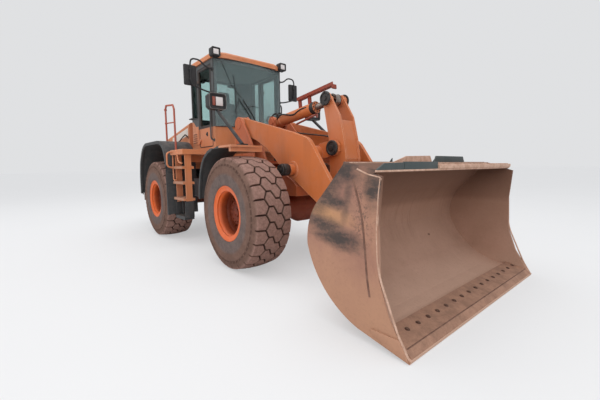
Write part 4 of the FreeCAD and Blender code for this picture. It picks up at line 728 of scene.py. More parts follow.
def rounded_frame(x, y, z, half_wide, half_high, corner, band, depth):
    """A frame with rounded corners that stands forward of a face by its depth."""
    ring = []
    for inset in (0.0, band):
        turn = max(0.004, corner - inset)
        for cy, cz, start in ((1, 1, 0.0), (-1, 1, 90.0), (-1, -1, 180.0), (1, -1, 270.0)):
            for step in range(5):
                angle = math.radians(start + 22.5 * step)
                py = y + cy * (half_wide - inset - turn) + math.cos(angle) * turn
                pz = z + cz * (half_high - inset - turn) + math.sin(angle) * turn
                ring.append((x, py, pz))
    count = len(ring) // 2
    faces = [(i, (i + 1) % count, count + (i + 1) % count, count + i) for i in range(count)]
    mesh = bpy.data.meshes.new("frame")
    mesh.from_pydata(ring, [], faces)
    piece = bpy.data.objects.new("frame", mesh)
    bpy.context.scene.collection.objects.link(piece)
    pick(piece)
    bpy.ops.object.mode_set(mode="EDIT")
    bpy.ops.mesh.select_all(action="SELECT")
    bpy.ops.mesh.extrude_region_move(TRANSFORM_OT_translate={"value": (depth, 0, 0)})
    bpy.ops.mesh.select_all(action="SELECT")
    bpy.ops.mesh.normals_make_consistent(inside=False)
    bpy.ops.object.mode_set(mode="OBJECT")
    return soften(piece, min(depth, band) * 0.3)


def pad(profile, half, soft=0.03):
    """A padded seat part: its side profile is widened, then rounded and crowned."""
    piece = slab(profile, "y", -half, half, 0.0)
    pick(piece)
    bpy.ops.object.mode_set(mode="EDIT")
    bpy.ops.mesh.select_all(action="SELECT")
    bpy.ops.mesh.bevel(offset=soft, offset_pct=0, segments=2, affect="EDGES")
    bpy.ops.object.mode_set(mode="OBJECT")
    made = piece.modifiers.new("round", "SUBSURF")
    made.levels = 2
    made.render_levels = 2
    bpy.ops.object.modifier_apply(modifier=made.name)
    smooth(piece, 60.0)
    return piece


def joined(pieces):
    """One piece from several."""
    rest()
    for piece in pieces:
        piece.select_set(True)
    bpy.context.view_layer.objects.active = pieces[0]
    if len(pieces) > 1:
        bpy.ops.object.join()
    return bpy.context.object


def twin(piece, matrix):
    """A copy of a piece with its own mesh, moved by a matrix."""
    copy = piece.copy()
    copy.data = piece.data.copy()
    bpy.context.scene.collection.objects.link(copy)
    copy.data.transform(matrix)
    return copy


def repeated(piece, matrices):
    """Copies of a small piece at each matrix, joined. The piece itself goes."""
    copies = [twin(piece, m) for m in matrices]
    bpy.data.objects.remove(piece)
    return joined(copies)


def shift(x=0.0, y=0.0, z=0.0):
    """A step as a matrix."""
    return Matrix.Translation((x, y, z))


def place(piece, name, body, finish, slot=None, replaces=()):
    """Names a piece, gives it its finish and lets it ride on its body."""
    piece.name = name
    piece.data.name = name
    piece.data.materials.clear()
    piece.data.materials.append(FINISHES[finish])
    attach(piece, body)
    if replaces:
        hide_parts(*replaces)
    rest()
    return piece


def hex_bolt(centre, axis, radius, height):
    """A bolt head with a washer, standing on a face."""
    a = Vector(centre)
    d = Vector(axis).normalized()
    washer = drum(a, a + d * height * 0.25, radius * 1.35, 16, 0.0)
    head = drum(a, a + d * height, radius, 6, 0.0015)
    return joined([washer, head])


def bolt_ring(centre, axis, ring_radius, count, radius, height):
    """Bolt heads in a ring round an axis across the machine."""
    c = Vector(centre)
    first = hex_bolt(c + Vector((0, 0, ring_radius)), axis, radius, height)
    turns = []
    for i in range(count):
        turn = Matrix.Rotation(math.tau * i / count, 4, Vector(axis))
        turns.append(shift(*c) @ turn @ shift(*(-c)))
    return repeated(first, turns)


def pin_cap(x, z, y, side, radius, thick=0.014):
    """A round cover with a raised ring and small bolts on the end of a pin."""
    face = Vector((x, y, z))
    out = Vector((0, side, 0))
    well = thick * 0.55
    boss = thick * 1.3
    profile = [
        (0.0, 0.0), (0.0, radius), (thick * 0.6, radius), (thick, radius * 0.93), (thick, radius * 0.72),
        (well, radius * 0.66), (well, radius * 0.34), (boss, radius * 0.3), (boss, 0.0),
    ]
    cover = spin(profile, face, 40, out)
    bolts = bolt_ring(face + out * thick * 0.9, out, radius * 0.82, 6, radius * 0.09, 0.008)
    return joined([cover, bolts])


def collar(start, end, radius):
    """A ring round a bar, with rounded shoulders."""
    return drum(start, end, radius, 32, 0.004)


def bar_plate(x, z, y, side):
    """A keeper plate with two bolts beside a pin."""
    plate = block((x - 0.075, y, z - 0.016), (x - 0.035, y + side * 0.010, z + 0.016), 0.003)
    bolts = [hex_bolt((x - 0.066, y + side * 0.010, z), (0, side, 0), 0.006, 0.006)]
    return joined([plate] + bolts)


def write_floats(mesh, name, values):
    """Writes one number per vertex under a name."""
    made = mesh.attributes.new(name, "FLOAT", "POINT")
    made.data.foreach_set("value", values)


# Stage
WORLD_LIGHT = 0.86
LAMPS = [
    ("sky_lamp", (1.0, -1.0, 12.0), 12.0, 700.0),
    ("front_lamp", (10.0, -8.0, 6.0), 9.0, 330.0),
    ("side_lamp", (-7.0, -11.0, 7.0), 9.0, 200.0),
]
CAMERA_PLACE = (4.0559, -3.4669, 1.4328)
CAMERA_TURN = (2.43805, -0.10151, -0.01285)
CAMERA_LENS = 19.35


def make_stage():
    """Floor, soft lamps, pale world and the photograph's camera."""
    scene = bpy.context.scene
    rest()
    bpy.ops.mesh.primitive_plane_add(size=400.0, location=(0, 0, 0))
    floor = settle(bpy.context.object)
    floor.name = "floor"
    n = Nodes("floor_pale")
    shade = n.mix(n.noise(0.4, 2.0, 0.5), rgba((0.74, 0.735, 0.73)), rgba((0.78, 0.775, 0.77)))
    seen = n.add("ShaderNodeLightPath").outputs["Is Camera Ray"]
    pale = n.add("ShaderNodeEmission")
    pale.inputs["Color"].default_value = (0.86, 0.86, 0.865, 1.0)
    both = n.add("ShaderNodeMixShader")
    n.link(n.math("MULTIPLY", seen, 0.5), both.inputs[0])
    material = n.finish(shade, 0.95)
    n.link(n.shader.outputs[0], both.inputs[1])
    n.link(pale.outputs[0], both.inputs[2])
    n.link(both.outputs[0], n.tree.nodes["Material Output"].inputs[0])
    floor.data.materials.append(material)
    world = bpy.data.worlds.new("pale")
    scene.world = world
    world.use_nodes = True
    tree = world.node_tree
    background = tree.nodes["Background"]
    background.inputs["Color"].default_value = (0.90, 0.93, 0.98, 1.0)
    background.inputs["Strength"].default_value = WORLD_LIGHT
    white = tree.nodes.new("ShaderNodeBackground")
    white.inputs["Color"].default_value = (0.745, 0.752, 0.765, 1.0)
    white.inputs["Strength"].default_value = 1.0
    path = tree.nodes.new("ShaderNodeLightPath")
    seen = tree.nodes.new("ShaderNodeMath")
    seen.operation = "MAXIMUM"
    also = tree.nodes.new("ShaderNodeMath")
    also.operation = "MAXIMUM"
    choice = tree.nodes.new("ShaderNodeMixShader")
    tree.links.new(path.outputs["Is Camera Ray"], seen.inputs[0])
    tree.links.new(path.outputs["Is Transmission Ray"], seen.inputs[1])
    tree.links.new(seen.outputs[0], also.inputs[0])
    tree.links.new(path.outputs["Is Glossy Ray"], also.inputs[1])
    tree.links.new(also.outputs[0], choice.inputs[0])
    tree.links.new(background.outputs[0], choice.inputs[1])
    tree.links.new(white.outputs[0], choice.inputs[2])
    tree.links.new(choice.outputs[0], tree.nodes["World Output"].inputs[0])
    for name, where, size, power in LAMPS:
        lamp = bpy.data.lights.new(name, "AREA")
        lamp.shape = "SQUARE"
        lamp.size = size
        lamp.energy = power
        holder = bpy.data.objects.new(name, lamp)
        scene.collection.objects.link(holder)
        holder.location = where
        holder.rotation_euler = (Vector((0.5, 0, 1.2)) - Vector(where)).to_track_quat("-Z", "Y").to_euler()
    yaw, pitch, roll = CAMERA_TURN
    forward = Vector((math.cos(pitch) * math.cos(yaw), math.cos(pitch) * math.sin(yaw), math.sin(pitch)))
    right = forward.cross(Vector((0, 0, 1))).normalized()
    up = right.cross(forward)
    level = math.cos(roll) * right + math.sin(roll) * up
    upright = math.cos(roll) * up - math.sin(roll) * right
    data = bpy.data.cameras.new("view")
    data.sensor_width = 36.0
    data.lens = CAMERA_LENS
    data.clip_end = 500.0
    camera = bpy.data.objects.new("view", data)
    scene.collection.objects.link(camera)
    turn = Matrix((level, upright, -forward)).transposed().to_4x4()
    camera.matrix_world = shift(FRONT_X + CAMERA_PLACE[0], CAMERA_PLACE[1], CAMERA_PLACE[2]) @ turn
    scene.camera = camera
    scene.view_settings.view_transform = "Standard"


# Wheels
TREAD_EDGE = 0.262
TREAD_FALL = 0.022
TYRE_PROFILE = [
    (-0.200, 0.3195), (-0.2605, 0.3195), (-0.2610, 0.3925), (-0.2790, 0.3935), (-0.2860, 0.400),
    (-0.2910, 0.415), (-0.2935, 0.450), (-0.2960, 0.520), (-0.2970, 0.600), (-0.2945, 0.640),
    (-0.2968, 0.648), (-0.2962, 0.660), (-0.2900, 0.668), (-0.2885, 0.686), (-0.2920, 0.692),
    (-0.2895, 0.705), (-0.2800, 0.724), (-0.2620, 0.744), (-0.200, 0.7535), (-0.130, 0.7605), (0.0, 0.766),
]
RIM_PROFILE = [
    (-0.278, 0.3905), (-0.2785, 0.374), (-0.272, 0.367), (-0.260, 0.364), (-0.2575, 0.360), (-0.2575, 0.352),
    (-0.262, 0.348), (-0.262, 0.340), (-0.252, 0.332), (-0.236, 0.316), (-0.215, 0.302), (-0.190, 0.2975),
    (-0.110, 0.2965), (-0.100, 0.290), (-0.066, 0.282), (-0.063, 0.262), (-0.063, 0.206), (-0.075, 0.200),
    (-0.090, 0.178), (-0.118, 0.160), (-0.121, 0.110), (-0.112, 0.098), (-0.112, 0.0),
]
RIM_BACK = [
    (0.262, 0.0), (0.262, 0.182), (0.255, 0.186), (-0.034, 0.186), (-0.034, 0.290), (0.262, 0.2965),
    (0.278, 0.372), (0.278, 0.3905), (0.260, 0.3185), (-0.260, 0.3185), (-0.278, 0.3905),
]


def tread_outlines():
    """Outlines of the three blocks in one pitch, as (place round the tyre in pitches, place across)."""
    edge = TREAD_EDGE
    a = 0.026
    inner = 0.118
    near = [
        (0.5, -edge), (0.0, -edge), (-0.5, -edge), (-0.5, -inner - a), (0.0, -inner + a), (0.5, -inner - a),
    ]
    centre = [
        (0.0, -inner + a), (-0.5, -inner - a), (-1.0, -inner + a), (-1.0, -a), (-1.5, a), (-1.5, inner - a),
        (-1.0, inner + a), (-0.5, inner - a), (-0.5, a), (0.0, -a),
    ]
    far = [(0.0, edge), (0.0, inner + a), (-0.5, inner - a), (-1.0, inner + a), (-1.0, edge), (-0.5, edge)]
    return [near, centre, far]


def drawn_in(points, gap):
    """A closed outline moved inwards by half a gap."""
    area = sum(p.x * q.y - q.x * p.y for p, q in zip(points, points[1:] + points[:1]))
    sign = 1.0 if area > 0 else -1.0
    out = []
    count = len(points)
    for i in range(count):
        before = (points[i] - points[i - 1]).normalized()
        after = (points[(i + 1) % count] - points[i]).normalized()
        n1 = Vector((-before.y, before.x)) * sign
        n2 = Vector((-after.y, after.x)) * sign
        mean = n1 + n2
        out.append(points[i] + mean * (gap / 2 / max(0.3, 1 + n1.dot(n2))))
    return out


def tread_crown(across):
    """How far the tread falls away towards its shoulder."""
    return TREAD_FALL * (across / TREAD_EDGE) ** 2


def tyre_piece():
    """One tyre about the Y axis at the origin, with its outer face at -Y."""
    s = sizes()
    tip = s.tyre_radius
    root = tip - s.tread_depth
    pitch = math.tau * tip / s.block_count
    far_half = [(-a, r) for a, r in reversed(TYRE_PROFILE[:-1])]
    carcass = spin(TYRE_PROFILE + far_half + [TYRE_PROFILE[0]], (0, 0, 0), 100)
    around = [math.hypot(vertex.co.x, vertex.co.z) for vertex in carcass.data.vertices]
    wide = [abs(vertex.co.y) for vertex in carcass.data.vertices]
    # 0 on the groove floors between the blocks, which the shader paints dark as painted shade; 0.45 on the
    # walls.
    dust_and_shade_parts = [0.0 if r > 0.73 and y < 0.27 else 0.45 for r, y in zip(around, wide)]
    write_floats(carcass.data, "top_dust_groove_shade", dust_and_shade_parts)
    write_floats(carcass.data, "reach", around)
    bm = bmesh.new()
    layer = bm.verts.layers.float.new("top_dust_groove_shade")
    far_out = bm.verts.layers.float.new("reach")
    for outline in tread_outlines():
        flat = [Vector((a * pitch, y)) for a, y in outline]
        rings = []
        # The third number of each step is painted as dust at the block tops and as groove shade at the lowest
        # ring.
        steps = ((0.0, -0.004, 0.1), (0.004, s.tread_depth - 0.006, 0.55), (0.014, s.tread_depth, 1.0))
        for gap, height, worn in steps:
            ring = []
            for flat_point, drawn in zip(flat, drawn_in(flat, s.groove_width + gap)):
                y = drawn.y
                z = height
                if abs(flat_point.y) > 0.26:
                    y = math.copysign((0.2865, 0.2740, 0.2560)[len(rings)], drawn.y)
                    z = (-0.052, 0.000, s.tread_depth - 0.002)[len(rings)]
                vert = bm.verts.new((drawn.x, y, z))
                vert[layer] = worn if abs(flat_point.y) <= 0.26 else (0.45, 0.55, 1.0)[len(rings)]
                ring.append(vert)
            rings.append(ring)
        for one, two in zip(rings[:-1], rings[1:]):
            for i in range(len(one)):
                j = (i + 1) % len(one)
                bm.faces.new((one[i], one[j], two[j], two[i]))
        bm.faces.new(rings[-1])
    for x in [0.25 * pitch * k for k in range(-6, 3)]:
        geom = bm.verts[:] + bm.edges[:] + bm.faces[:]
        bmesh.ops.bisect_plane(bm, geom=geom, plane_co=(x, 0, 0), plane_no=(1, 0, 0))
    for vert in bm.verts:
        if vert.co.z > s.tread_depth - 0.003:
            vert[layer] = 1.0
        radius = root + vert.co.z - tread_crown(min(abs(vert.co.y), TREAD_EDGE))
        vert[far_out] = radius
        angle = vert.co.x / tip
        vert.co = Vector((radius * math.sin(angle), vert.co.y, -radius * math.cos(angle)))
    bmesh.ops.recalc_face_normals(bm, faces=bm.faces[:])
    mesh = bpy.data.meshes.new("blocks")
    bm.to_mesh(mesh)
    bm.free()
    group = bpy.data.objects.new("blocks", mesh)
    bpy.context.scene.collection.objects.link(group)
    rib = block((-0.012, -0.2985, -0.690), (0.012, -0.286, -0.664), 0.003)
    write_floats(rib.data, "top_dust_groove_shade", [0.50] * len(rib.data.vertices))
    write_floats(rib.data, "reach", [0.72] * len(rib.data.vertices))
    half = math.pi / s.block_count
    back = twin(rib, Matrix.Rotation(math.pi, 4, "Z"))
    more = [twin(piece, Matrix.Rotation(half, 4, "Y")) for piece in (rib, back)]
    group = joined([group, rib, back] + more)
    all_round = repeated(group, [Matrix.Rotation(2 * half * i, 4, "Y") for i in range(s.block_count)])
    smooth(all_round, 30.0)
    return joined([carcass, all_round])


def make_tyres():
    """The four tyres with their tread."""
    first = tyre_piece()
    for end, x in (("front", FRONT_X), ("rear", REAR_X)):
        for name, side in SIDES:
            turn = Matrix.Rotation(0.11 if end == "rear" else 0.0, 4, "Y")
            if side > 0:
                turn = Matrix.Rotation(math.pi, 4, "Z") @ turn
            tyre = twin(first, shift(x, side * WHEEL_Y, AXLE_Z) @ turn)
            key = end + "_" + name
            place(tyre, "tread_" + key, "wheel_" + key, "tyre_rubber", "tyre_rubber", ("tyre_" + key,))
    bpy.data.objects.remove(first)


def mark_shade_depth(piece, start=0.235, end=0.16):
    """Writes how deep in the rim each vertex lies, for the painted shade inside the dish."""
    values = [max(0.0, min(1.0, (start - abs(v.co.y)) / (start - end))) for v in piece.data.vertices]
    write_floats(piece.data, "deep", values)
    return piece


def make_rims():
    """The four rims: lock ring, deep dish, hub with its bolts."""
    dish = mark_shade_depth(spin(RIM_PROFILE + RIM_BACK, (0, 0, 0), 96))
    nuts = bolt_ring((0, -0.063, 0), (0, -1, 0), 0.236, 20, 0.015, 0.024)
    cap_bolts = bolt_ring((0, -0.121, 0), (0, -1, 0), 0.134, 12, 0.010, 0.014)
    plug = drum((0, -0.112, 0), (0, -0.130, 0), 0.062, 20)
    drain = hex_bolt((0.0, -0.128, -0.034), (0, -1, 0), 0.011, 0.010)
    valve = pipe([(0.0, -0.12, 0.292), (0.0, -0.16, 0.276), (0.0, -0.20, 0.276)], 0.006, 0.02)
    bar = block((-0.030, -0.270, 0.333), (0.030, -0.2575, 0.366), 0.003)
    clip = block((0.075, -0.266, 0.326), (0.105, -0.2575, 0.358), 0.003)
    small = mark_shade_depth(joined([nuts, cap_bolts, plug, drain, valve, bar, clip]))
    for end, x in (("front", FRONT_X), ("rear", REAR_X)):
        for name, side in SIDES:
            turn = Matrix.Rotation(math.pi, 4, "Z") if side > 0 else Matrix.Identity(4)
            rolled = Matrix.Rotation(0.25 if end == "front" else 2.6, 4, "Y")
            where = shift(x, side * WHEEL_Y, AXLE_Z) @ turn @ rolled
            key = end + "_" + name
            wheel = "wheel_" + key
            place(twin(dish, where), "dish_" + key, wheel, "rim_orange", "rim_orange", ("rim_" + key,))
            place(twin(small, where), "hub_bolts_" + key, wheel, "rim_orange", "rim_orange")
    bpy.data.objects.remove(dish)
    bpy.data.objects.remove(small)


# Bucket
BUCKET_SIDE = 1.4575
CORNER_PLATE = [
    (2.884, 0.010), (2.661, 0.058), (2.650, 0.085), (2.555, 0.105), (2.545, 0.150), (2.800, 0.153),
]
SIDE_CREASE = [
    (2.350, 1.330), (2.395, 1.20), (2.430, 1.092), (2.455, 0.949), (2.482, 0.708), (2.495, 0.563),
    (2.525, 0.40),
]
SIDE_FOLD = [
    (2.498, 1.371), (2.512, 1.22), (2.526, 1.073), (2.532, 0.90), (2.540, 0.74), (2.575, 0.585),
]
SIDE_FRONT = [
    (2.612, 1.345), (2.597, 1.245), (2.581, 0.947), (2.594, 0.685), (2.618, 0.567), (2.795, 0.153),
    (2.862, 0.04),
]


def bucket_floor(distance, rise):
    """A side-view place on the bucket's floor, at a distance back from its tip and a height over it."""
    tip = Vector((FRONT_X + 2.885, 0.0))
    back = Vector((FRONT_X + 2.400, 0.095))
    along = (back - tip).normalized()
    up = Vector((along.y, -along.x))
    if up.y < 0:
        up = -up
    spot = tip + along * distance + up * (0.025 + rise)
    return spot.x, spot.y


def edge_trim(body):
    """Bolts, groove and seam on the bucket's floor."""
    x, z = bucket_floor(0.205, 0.040)
    # The bolts' dark brown is rust with painted shadow.
    bolt = hex_bolt((x, 0.0, z), (0.19, 0, 0.98), sizes().bolt_radius * 0.8, 0.010)
    spots = [shift(0, -1.35 + 0.169 * i, 0) for i in range(17)]
    place(repeated(bolt, spots), "edge_bolts", body, "bolt_rust_and_shade", "edge_steel")
    x0, z0 = bucket_floor(0.062, 0.0405)
    x1, z1 = bucket_floor(0.072, 0.0405)
    groove = [(x0, z0), (x1, z1), (x1, z1 + 0.0015), (x0, z0 + 0.0015)]
    place(slab(groove, "y", -1.405, 1.405, 0.0), "edge_groove", body, "groove_brown", "edge_steel")
    x0, z0 = bucket_floor(0.285, 0.026)
    seam = pipe([(x0, -1.40, z0), (x0, 1.40, z0)], 0.009, 0.0, 3)
    place(seam, "edge_seam", body, "groove_brown", "bucket_steel")


def side_trim(body):
    """Corner plates, creases, folds and pale front edges of the bucket's sides, worn steel with a painted
    highlight.
    """
    plates = []
    creases = []
    folds = []
    edges = []
    for side in BOTH:
        y = side * BUCKET_SIDE
        outline = [from_front(a, b) for a, b in CORNER_PLATE]
        plates.append(slab(outline, "y", y, y + side * 0.014, 0.004))
        creases.append(side_pipe(SIDE_CREASE, y - side * 0.006, 0.012, 0.05, 4))
        folds.append(side_pipe(SIDE_FOLD, y - side * 0.005, 0.0085, 0.05, 4))
        edges.append(side_pipe(SIDE_FRONT, side * 1.4505, 0.0085, 0.05, 4))
        back = at(2.391, side * 1.4565, 1.413)
        corner = at(2.498, side * 1.4565, 1.371)
        edges.append(pipe([back, corner], 0.007, 0.0, 3))
        edges.append(pipe([corner, at(2.616, side * 1.4535, 1.348)], 0.006, 0.0, 3))
    edges.append(block(at(2.552, -BUCKET_SIDE, 1.386), at(2.576, BUCKET_SIDE, 1.403), 0.005))
    place(joined(plates), "corner_plates", body, "bucket_steel", "edge_steel")
    place(joined(creases), "side_creases", body, "groove_brown", "bucket_steel")
    place(joined(folds), "side_folds", body, "bucket_steel", "bucket_steel")
    # Pale edge tubes: worn steel with a painted highlight along the edges.
    place(joined(edges), "rim_edges", body, "lip_pale", "edge_steel")


def lip_trim(body):
    """Plates and the pale toothed bar along the bucket's top lip."""
    tapered = [(-BUCKET_SIDE, 1.400), (-1.075, 1.400), (-1.075, 1.462), (-1.345, 1.456)]
    gusset = [from_front(a, b) for a, b in ((2.556, 1.400), (2.556, 1.460), (2.43, 1.425), (2.43, 1.40))]
    lips = [
        slab(tapered, "x", FRONT_X + 2.556, FRONT_X + 2.574, 0.004),
        block(at(2.556, -1.069, 1.400), at(2.574, -0.500, 1.468), 0.004),
        slab(gusset, "y", -1.08, -1.064, 0.002),
        slab(gusset, "y", -0.52, -0.504, 0.002),
    ]
    place(joined(lips), "lip_plates", body, "teal_plate", "bucket_steel")
    bars = [
        block(at(2.545, -0.495, 1.402), at(2.588, BUCKET_SIDE, 1.444), 0.008),
        block(at(2.29, -1.44, 1.450), at(2.32, 1.44, 1.468), 0.004),
    ]
    for i in range(16):
        y = -0.43 + 0.118 * i
        bars.append(block(at(2.546, y - 0.028, 1.4425), at(2.582, y + 0.028, 1.451), 0.004))
    place(joined(bars), "lip_bar", body, "lip_pale", "edge_steel")


def spill_trim(body):
    """The two upright plates behind the lip, with their feet."""
    pale = []
    dark = []
    for side in BOTH:
        low, high = sorted((side * 0.02, side * 0.80))
        top_start = (low + 0.05, 1.540) if side > 0 else (low + 0.26, 1.530)
        plate = [(low, 1.462), (high, 1.462), (high - 0.05, 1.540), top_start]
        group = dark if side > 0 else pale
        group.append(slab(plate, "x", FRONT_X + 2.252, FRONT_X + 2.268, 0.003))
        foot = [from_front(2.20, 1.44), from_front(2.254, 1.45), from_front(2.254, 1.51)]
        for y in (0.06, 0.42, 0.77):
            dark.append(slab(foot, "y", side * y - 0.007, side * y + 0.007, 0.002))
    place(joined(pale), "spill_guard_near", body, "lip_pale", "bucket_steel")
    place(joined(dark), "spill_guard_far", body, "teal_plate", "bucket_steel")


def make_bucket_trim():
    """Bolts, wearing strips, lips and plates on the bucket."""
    body = "bucket_body"
    edge_trim(body)
    side_trim(body)
    lip_trim(body)
    spill_trim(body)


# Linkage
TILT_BASE = (-0.600, 0.0, 2.220)
TILT_EYE = (0.765, 0.0, 2.385)
LIFT_BASE = (-1.050, 1.000)
LIFT_EYE = (0.470, 1.400)
LIFT_Y = 0.700
TILT_HOSES = [
    ([(-0.52, -0.082, 2.26), (-0.43, -0.10, 2.31), (-0.30, -0.105, 2.315), (-0.07, -0.088, 2.262),
      (0.067, -0.086, 2.330), (0.219, -0.080, 2.352), (0.26, -0.070, 2.345)], 0.013),
    ([(-0.62, 0.06, 2.29), (-0.50, 0.105, 2.33), (-0.25, 0.095, 2.30), (0.12, 0.085, 2.33),
      (0.25, 0.06, 2.36)], 0.013),
    ([(-0.46, 0.00, 2.31), (-0.55, 0.02, 2.39), (-0.66, 0.04, 2.375), (-0.73, 0.05, 2.30),
      (-0.68, 0.05, 2.19)], 0.014),
    ([(-0.48, -0.04, 2.305), (-0.56, -0.05, 2.375), (-0.66, -0.06, 2.36), (-0.72, -0.06, 2.29),
      (-0.66, -0.06, 2.16)], 0.014),
]


def gland_bolts(centre, along, ring_radius, radius, height):
    """Eight bolts round the head of a cylinder."""
    bolts = []
    for turn in range(8):
        around = Matrix.Rotation(math.tau * turn / 8, 4, along) @ Vector((0, 1, 0)) * ring_radius
        bolts.append(hex_bolt(centre + around, along, radius, height))
    return bolts


def pin_trim():
    """Covers on the ends of the lever's and the bucket's pins."""
    low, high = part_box("tilt_lever")
    outer = max(abs(low.y), abs(high.y))
    top = at(*TILT_EYE)
    covers = [pin_cap(top[0], top[2], side * outer, side, 0.100, 0.020) for side in BOTH]
    place(joined(covers), "lever_top_covers", "lever", "grease_black", "arm_orange")
    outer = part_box("lever_pin")[1].y
    covers = [pin_cap(LEVER_PIN.x, LEVER_PIN.z, side * outer, side, 0.106, 0.016) for side in BOTH]
    place(joined(covers), "lever_pin_covers", "lever_pivot", "grease_black", "frame_dark")
    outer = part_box("bucket_pins")[1].y
    covers = [pin_cap(BUCKET_PIN.x, BUCKET_PIN.z, side * outer, side, 0.049, 0.008) for side in BOTH]
    covers += [bar_plate(BUCKET_PIN.x, BUCKET_PIN.z, side * (outer + 0.006), side) for side in BOTH]
    place(joined(covers), "bucket_pin_covers", "bucket_hinge", "grease_black", "edge_steel")


def lift_trim(name, side):
    """Pin covers and gland of one lift cylinder."""
    eye_x, eye_z = LIFT_EYE
    base_x, base_z = LIFT_BASE
    cap = pin_cap(FRONT_X + eye_x, eye_z, side * 0.765, side, 0.078, 0.014)
    band = collar(at(eye_x, side * 0.651, eye_z), at(eye_x, side * 0.749, eye_z), 0.084)
    rod_body = "lift_rod_body_" + name
    tube_body = "lift_tube_body_" + name
    place(joined([cap, band]), "lift_eye_cover_" + name, rod_body, "grease_black", "rod_chrome")
    base = pin_cap(FRONT_X + base_x, base_z, side * 0.776, side, 0.060, 0.010)
    place(base, "lift_base_cover_" + name, tube_body, "grease_black", "arm_orange")
    start = Vector(at(base_x, side * LIFT_Y, base_z))
    end = Vector(at(eye_x, side * LIFT_Y, eye_z))
    along = (end - start).normalized()
    gland = [collar(start + along * 1.352, start + along * 1.375, 0.0800)]
    gland += gland_bolts(start + along * 1.430, along, 0.060, 0.009, 0.010)
    place(joined(gland), "lift_gland_bolts_" + name, tube_body, "grease_black", "pipe_dark")


def tilt_trim():
    """Collars, gland, hoses, clamps, pipes and sleeve of the tilt cylinder."""
    body = "tilt_tube_body"
    x, _, z = TILT_EYE
    eye = [collar(at(x, y - 0.003, z), at(x, y + 0.003, z), 0.086) for y in (-0.052, 0.052)]
    place(joined(eye), "tilt_eye_collars", "tilt_rod_body", "grease_black", "rod_chrome")
    start = Vector(at(*TILT_BASE))
    end = Vector(at(*TILT_EYE))
    along = (end - start).normalized()
    gland = [collar(start + along * 0.915, start + along * 0.996, 0.0935)]
    gland.append(collar(start + along * 0.86, start + along * 0.875, 0.081))
    gland += gland_bolts(start + along * 0.996, along, 0.071, 0.010, 0.012)
    place(joined(gland), "tilt_gland_ring", body, "grease_black", "pipe_dark")
    hoses = [hose([at(*point) for point in route], radius) for route, radius in TILT_HOSES]
    place(joined(hoses), "tilt_hoses", body, "hose_black", "rubber_black")
    clamps = []
    for distance in (0.34, 0.62, 0.80):
        centre = start + along * distance
        clamps.append(collar(centre - along * 0.012, centre + along * 0.012, 0.0785))
    place(joined(clamps), "tilt_tube_clamps", body, "arm_orange", "arm_orange")
    lines = [
        pipe([at(-0.30, 0.13, 2.29), at(0.134, 0.13, 2.42)], 0.014, 0.0, 3),
        pipe([at(0.05, -0.115, 2.115), at(0.50, -0.115, 2.205)], 0.015, 0.0, 3),
    ]
    place(joined(lines), "tilt_pipes", body, "guard_red", "pipe_dark")
    sleeve = drum(start + along * 0.115, start + along * 0.912, 0.088, 48, 0.008)
    ring = drum(start + along * 0.112, start + along * 0.150, 0.093, 48, 0.006)
    place(joined([sleeve, ring]), "tilt_tube_sleeve", body, "arm_orange", "arm_orange")


def arm_trim():
    """Bearing rings and hydraulic lines on the lift arms."""
    rings = []
    for side in BOTH:
        for x, z, radius in ((-0.920, 2.180, 0.115), (0.470, 1.400, 0.120)):
            profile = [
                (0.0, radius - 0.03), (0.0, radius), (0.010, radius - 0.003), (0.010, radius - 0.028),
                (0.0, radius - 0.03),
            ]
            rings.append(spin(profile, at(x, side * 0.554 - side * 0.004, z), 40, (0, side, 0)))
    place(joined(rings), "arm_bearing_rings", "arms", "arm_orange", "arm_orange")
    lines = []
    for y in (0.33, 0.37, -0.33, -0.37):
        route = [at(-0.80, y, 2.10), at(-0.30, y, 2.02), at(0.30, y, 1.93), at(0.52, y, 1.85)]
        lines.append(pipe(route, 0.012, 0.08, 3))
    place(joined(lines), "arm_pipes", "arms", "pipe_dark", "pipe_dark")


def make_linkage_trim():
    """Pin covers, cylinder glands, hoses, bearing rings and pipes of the linkage."""
    pin_trim()
    for name, side in SIDES:
        lift_trim(name, side)
    tilt_trim()
    arm_trim()


# Cab
CAB_SIDE = 0.750
CAB_FRONT = PIVOT_X + 0.201
GLASS_FRONT = PIVOT_X + 0.215


def windscreen_trim(body):
    """The curved bonded windscreen with its seal."""
    count = 25
    low_z = 2.205
    high_z = 3.402
    plan = []
    for i in range(count):
        y = -0.744 + 1.488 * i / (count - 1)
        plan.append((CAB_FRONT - 0.125 * (y / 0.748) ** 2, y))
    verts = [(x, y, low_z) for x, y in plan] + [(x, y, high_z) for x, y in plan]
    faces = [(i, i + 1, count + i + 1, count + i) for i in range(count - 1)]
    mesh = bpy.data.meshes.new("pane")
    mesh.from_pydata(verts, [], faces)
    pane = bpy.data.objects.new("pane", mesh)
    bpy.context.scene.collection.objects.link(pane)
    pick(pane)
    made = pane.modifiers.new("wall", "SOLIDIFY")
    made.thickness = 0.005
    made.offset = 0.0
    bpy.ops.object.modifier_apply(modifier=made.name)
    smooth(pane, 30.0)
    place(pane, "windscreen_bonded", body, "hazy_pane", "cab_glass_tint")
    border = []
    x = CAB_FRONT - 0.125 - 0.001
    for side in BOTH:
        border.append(pipe([(x, side * 0.7455, low_z), (x, side * 0.7455, high_z)], 0.009, 0.0, 2))
    border.append(pipe([(x + 0.002, y, 2.203) for x, y in plan], 0.008, 0.0, 2))
    border.append(pipe([(x + 0.002, y, 3.403) for x, y in plan], 0.010, 0.0, 2))
    place(joined(border), "windscreen_seal", body, "rubber_black", "rubber_black")


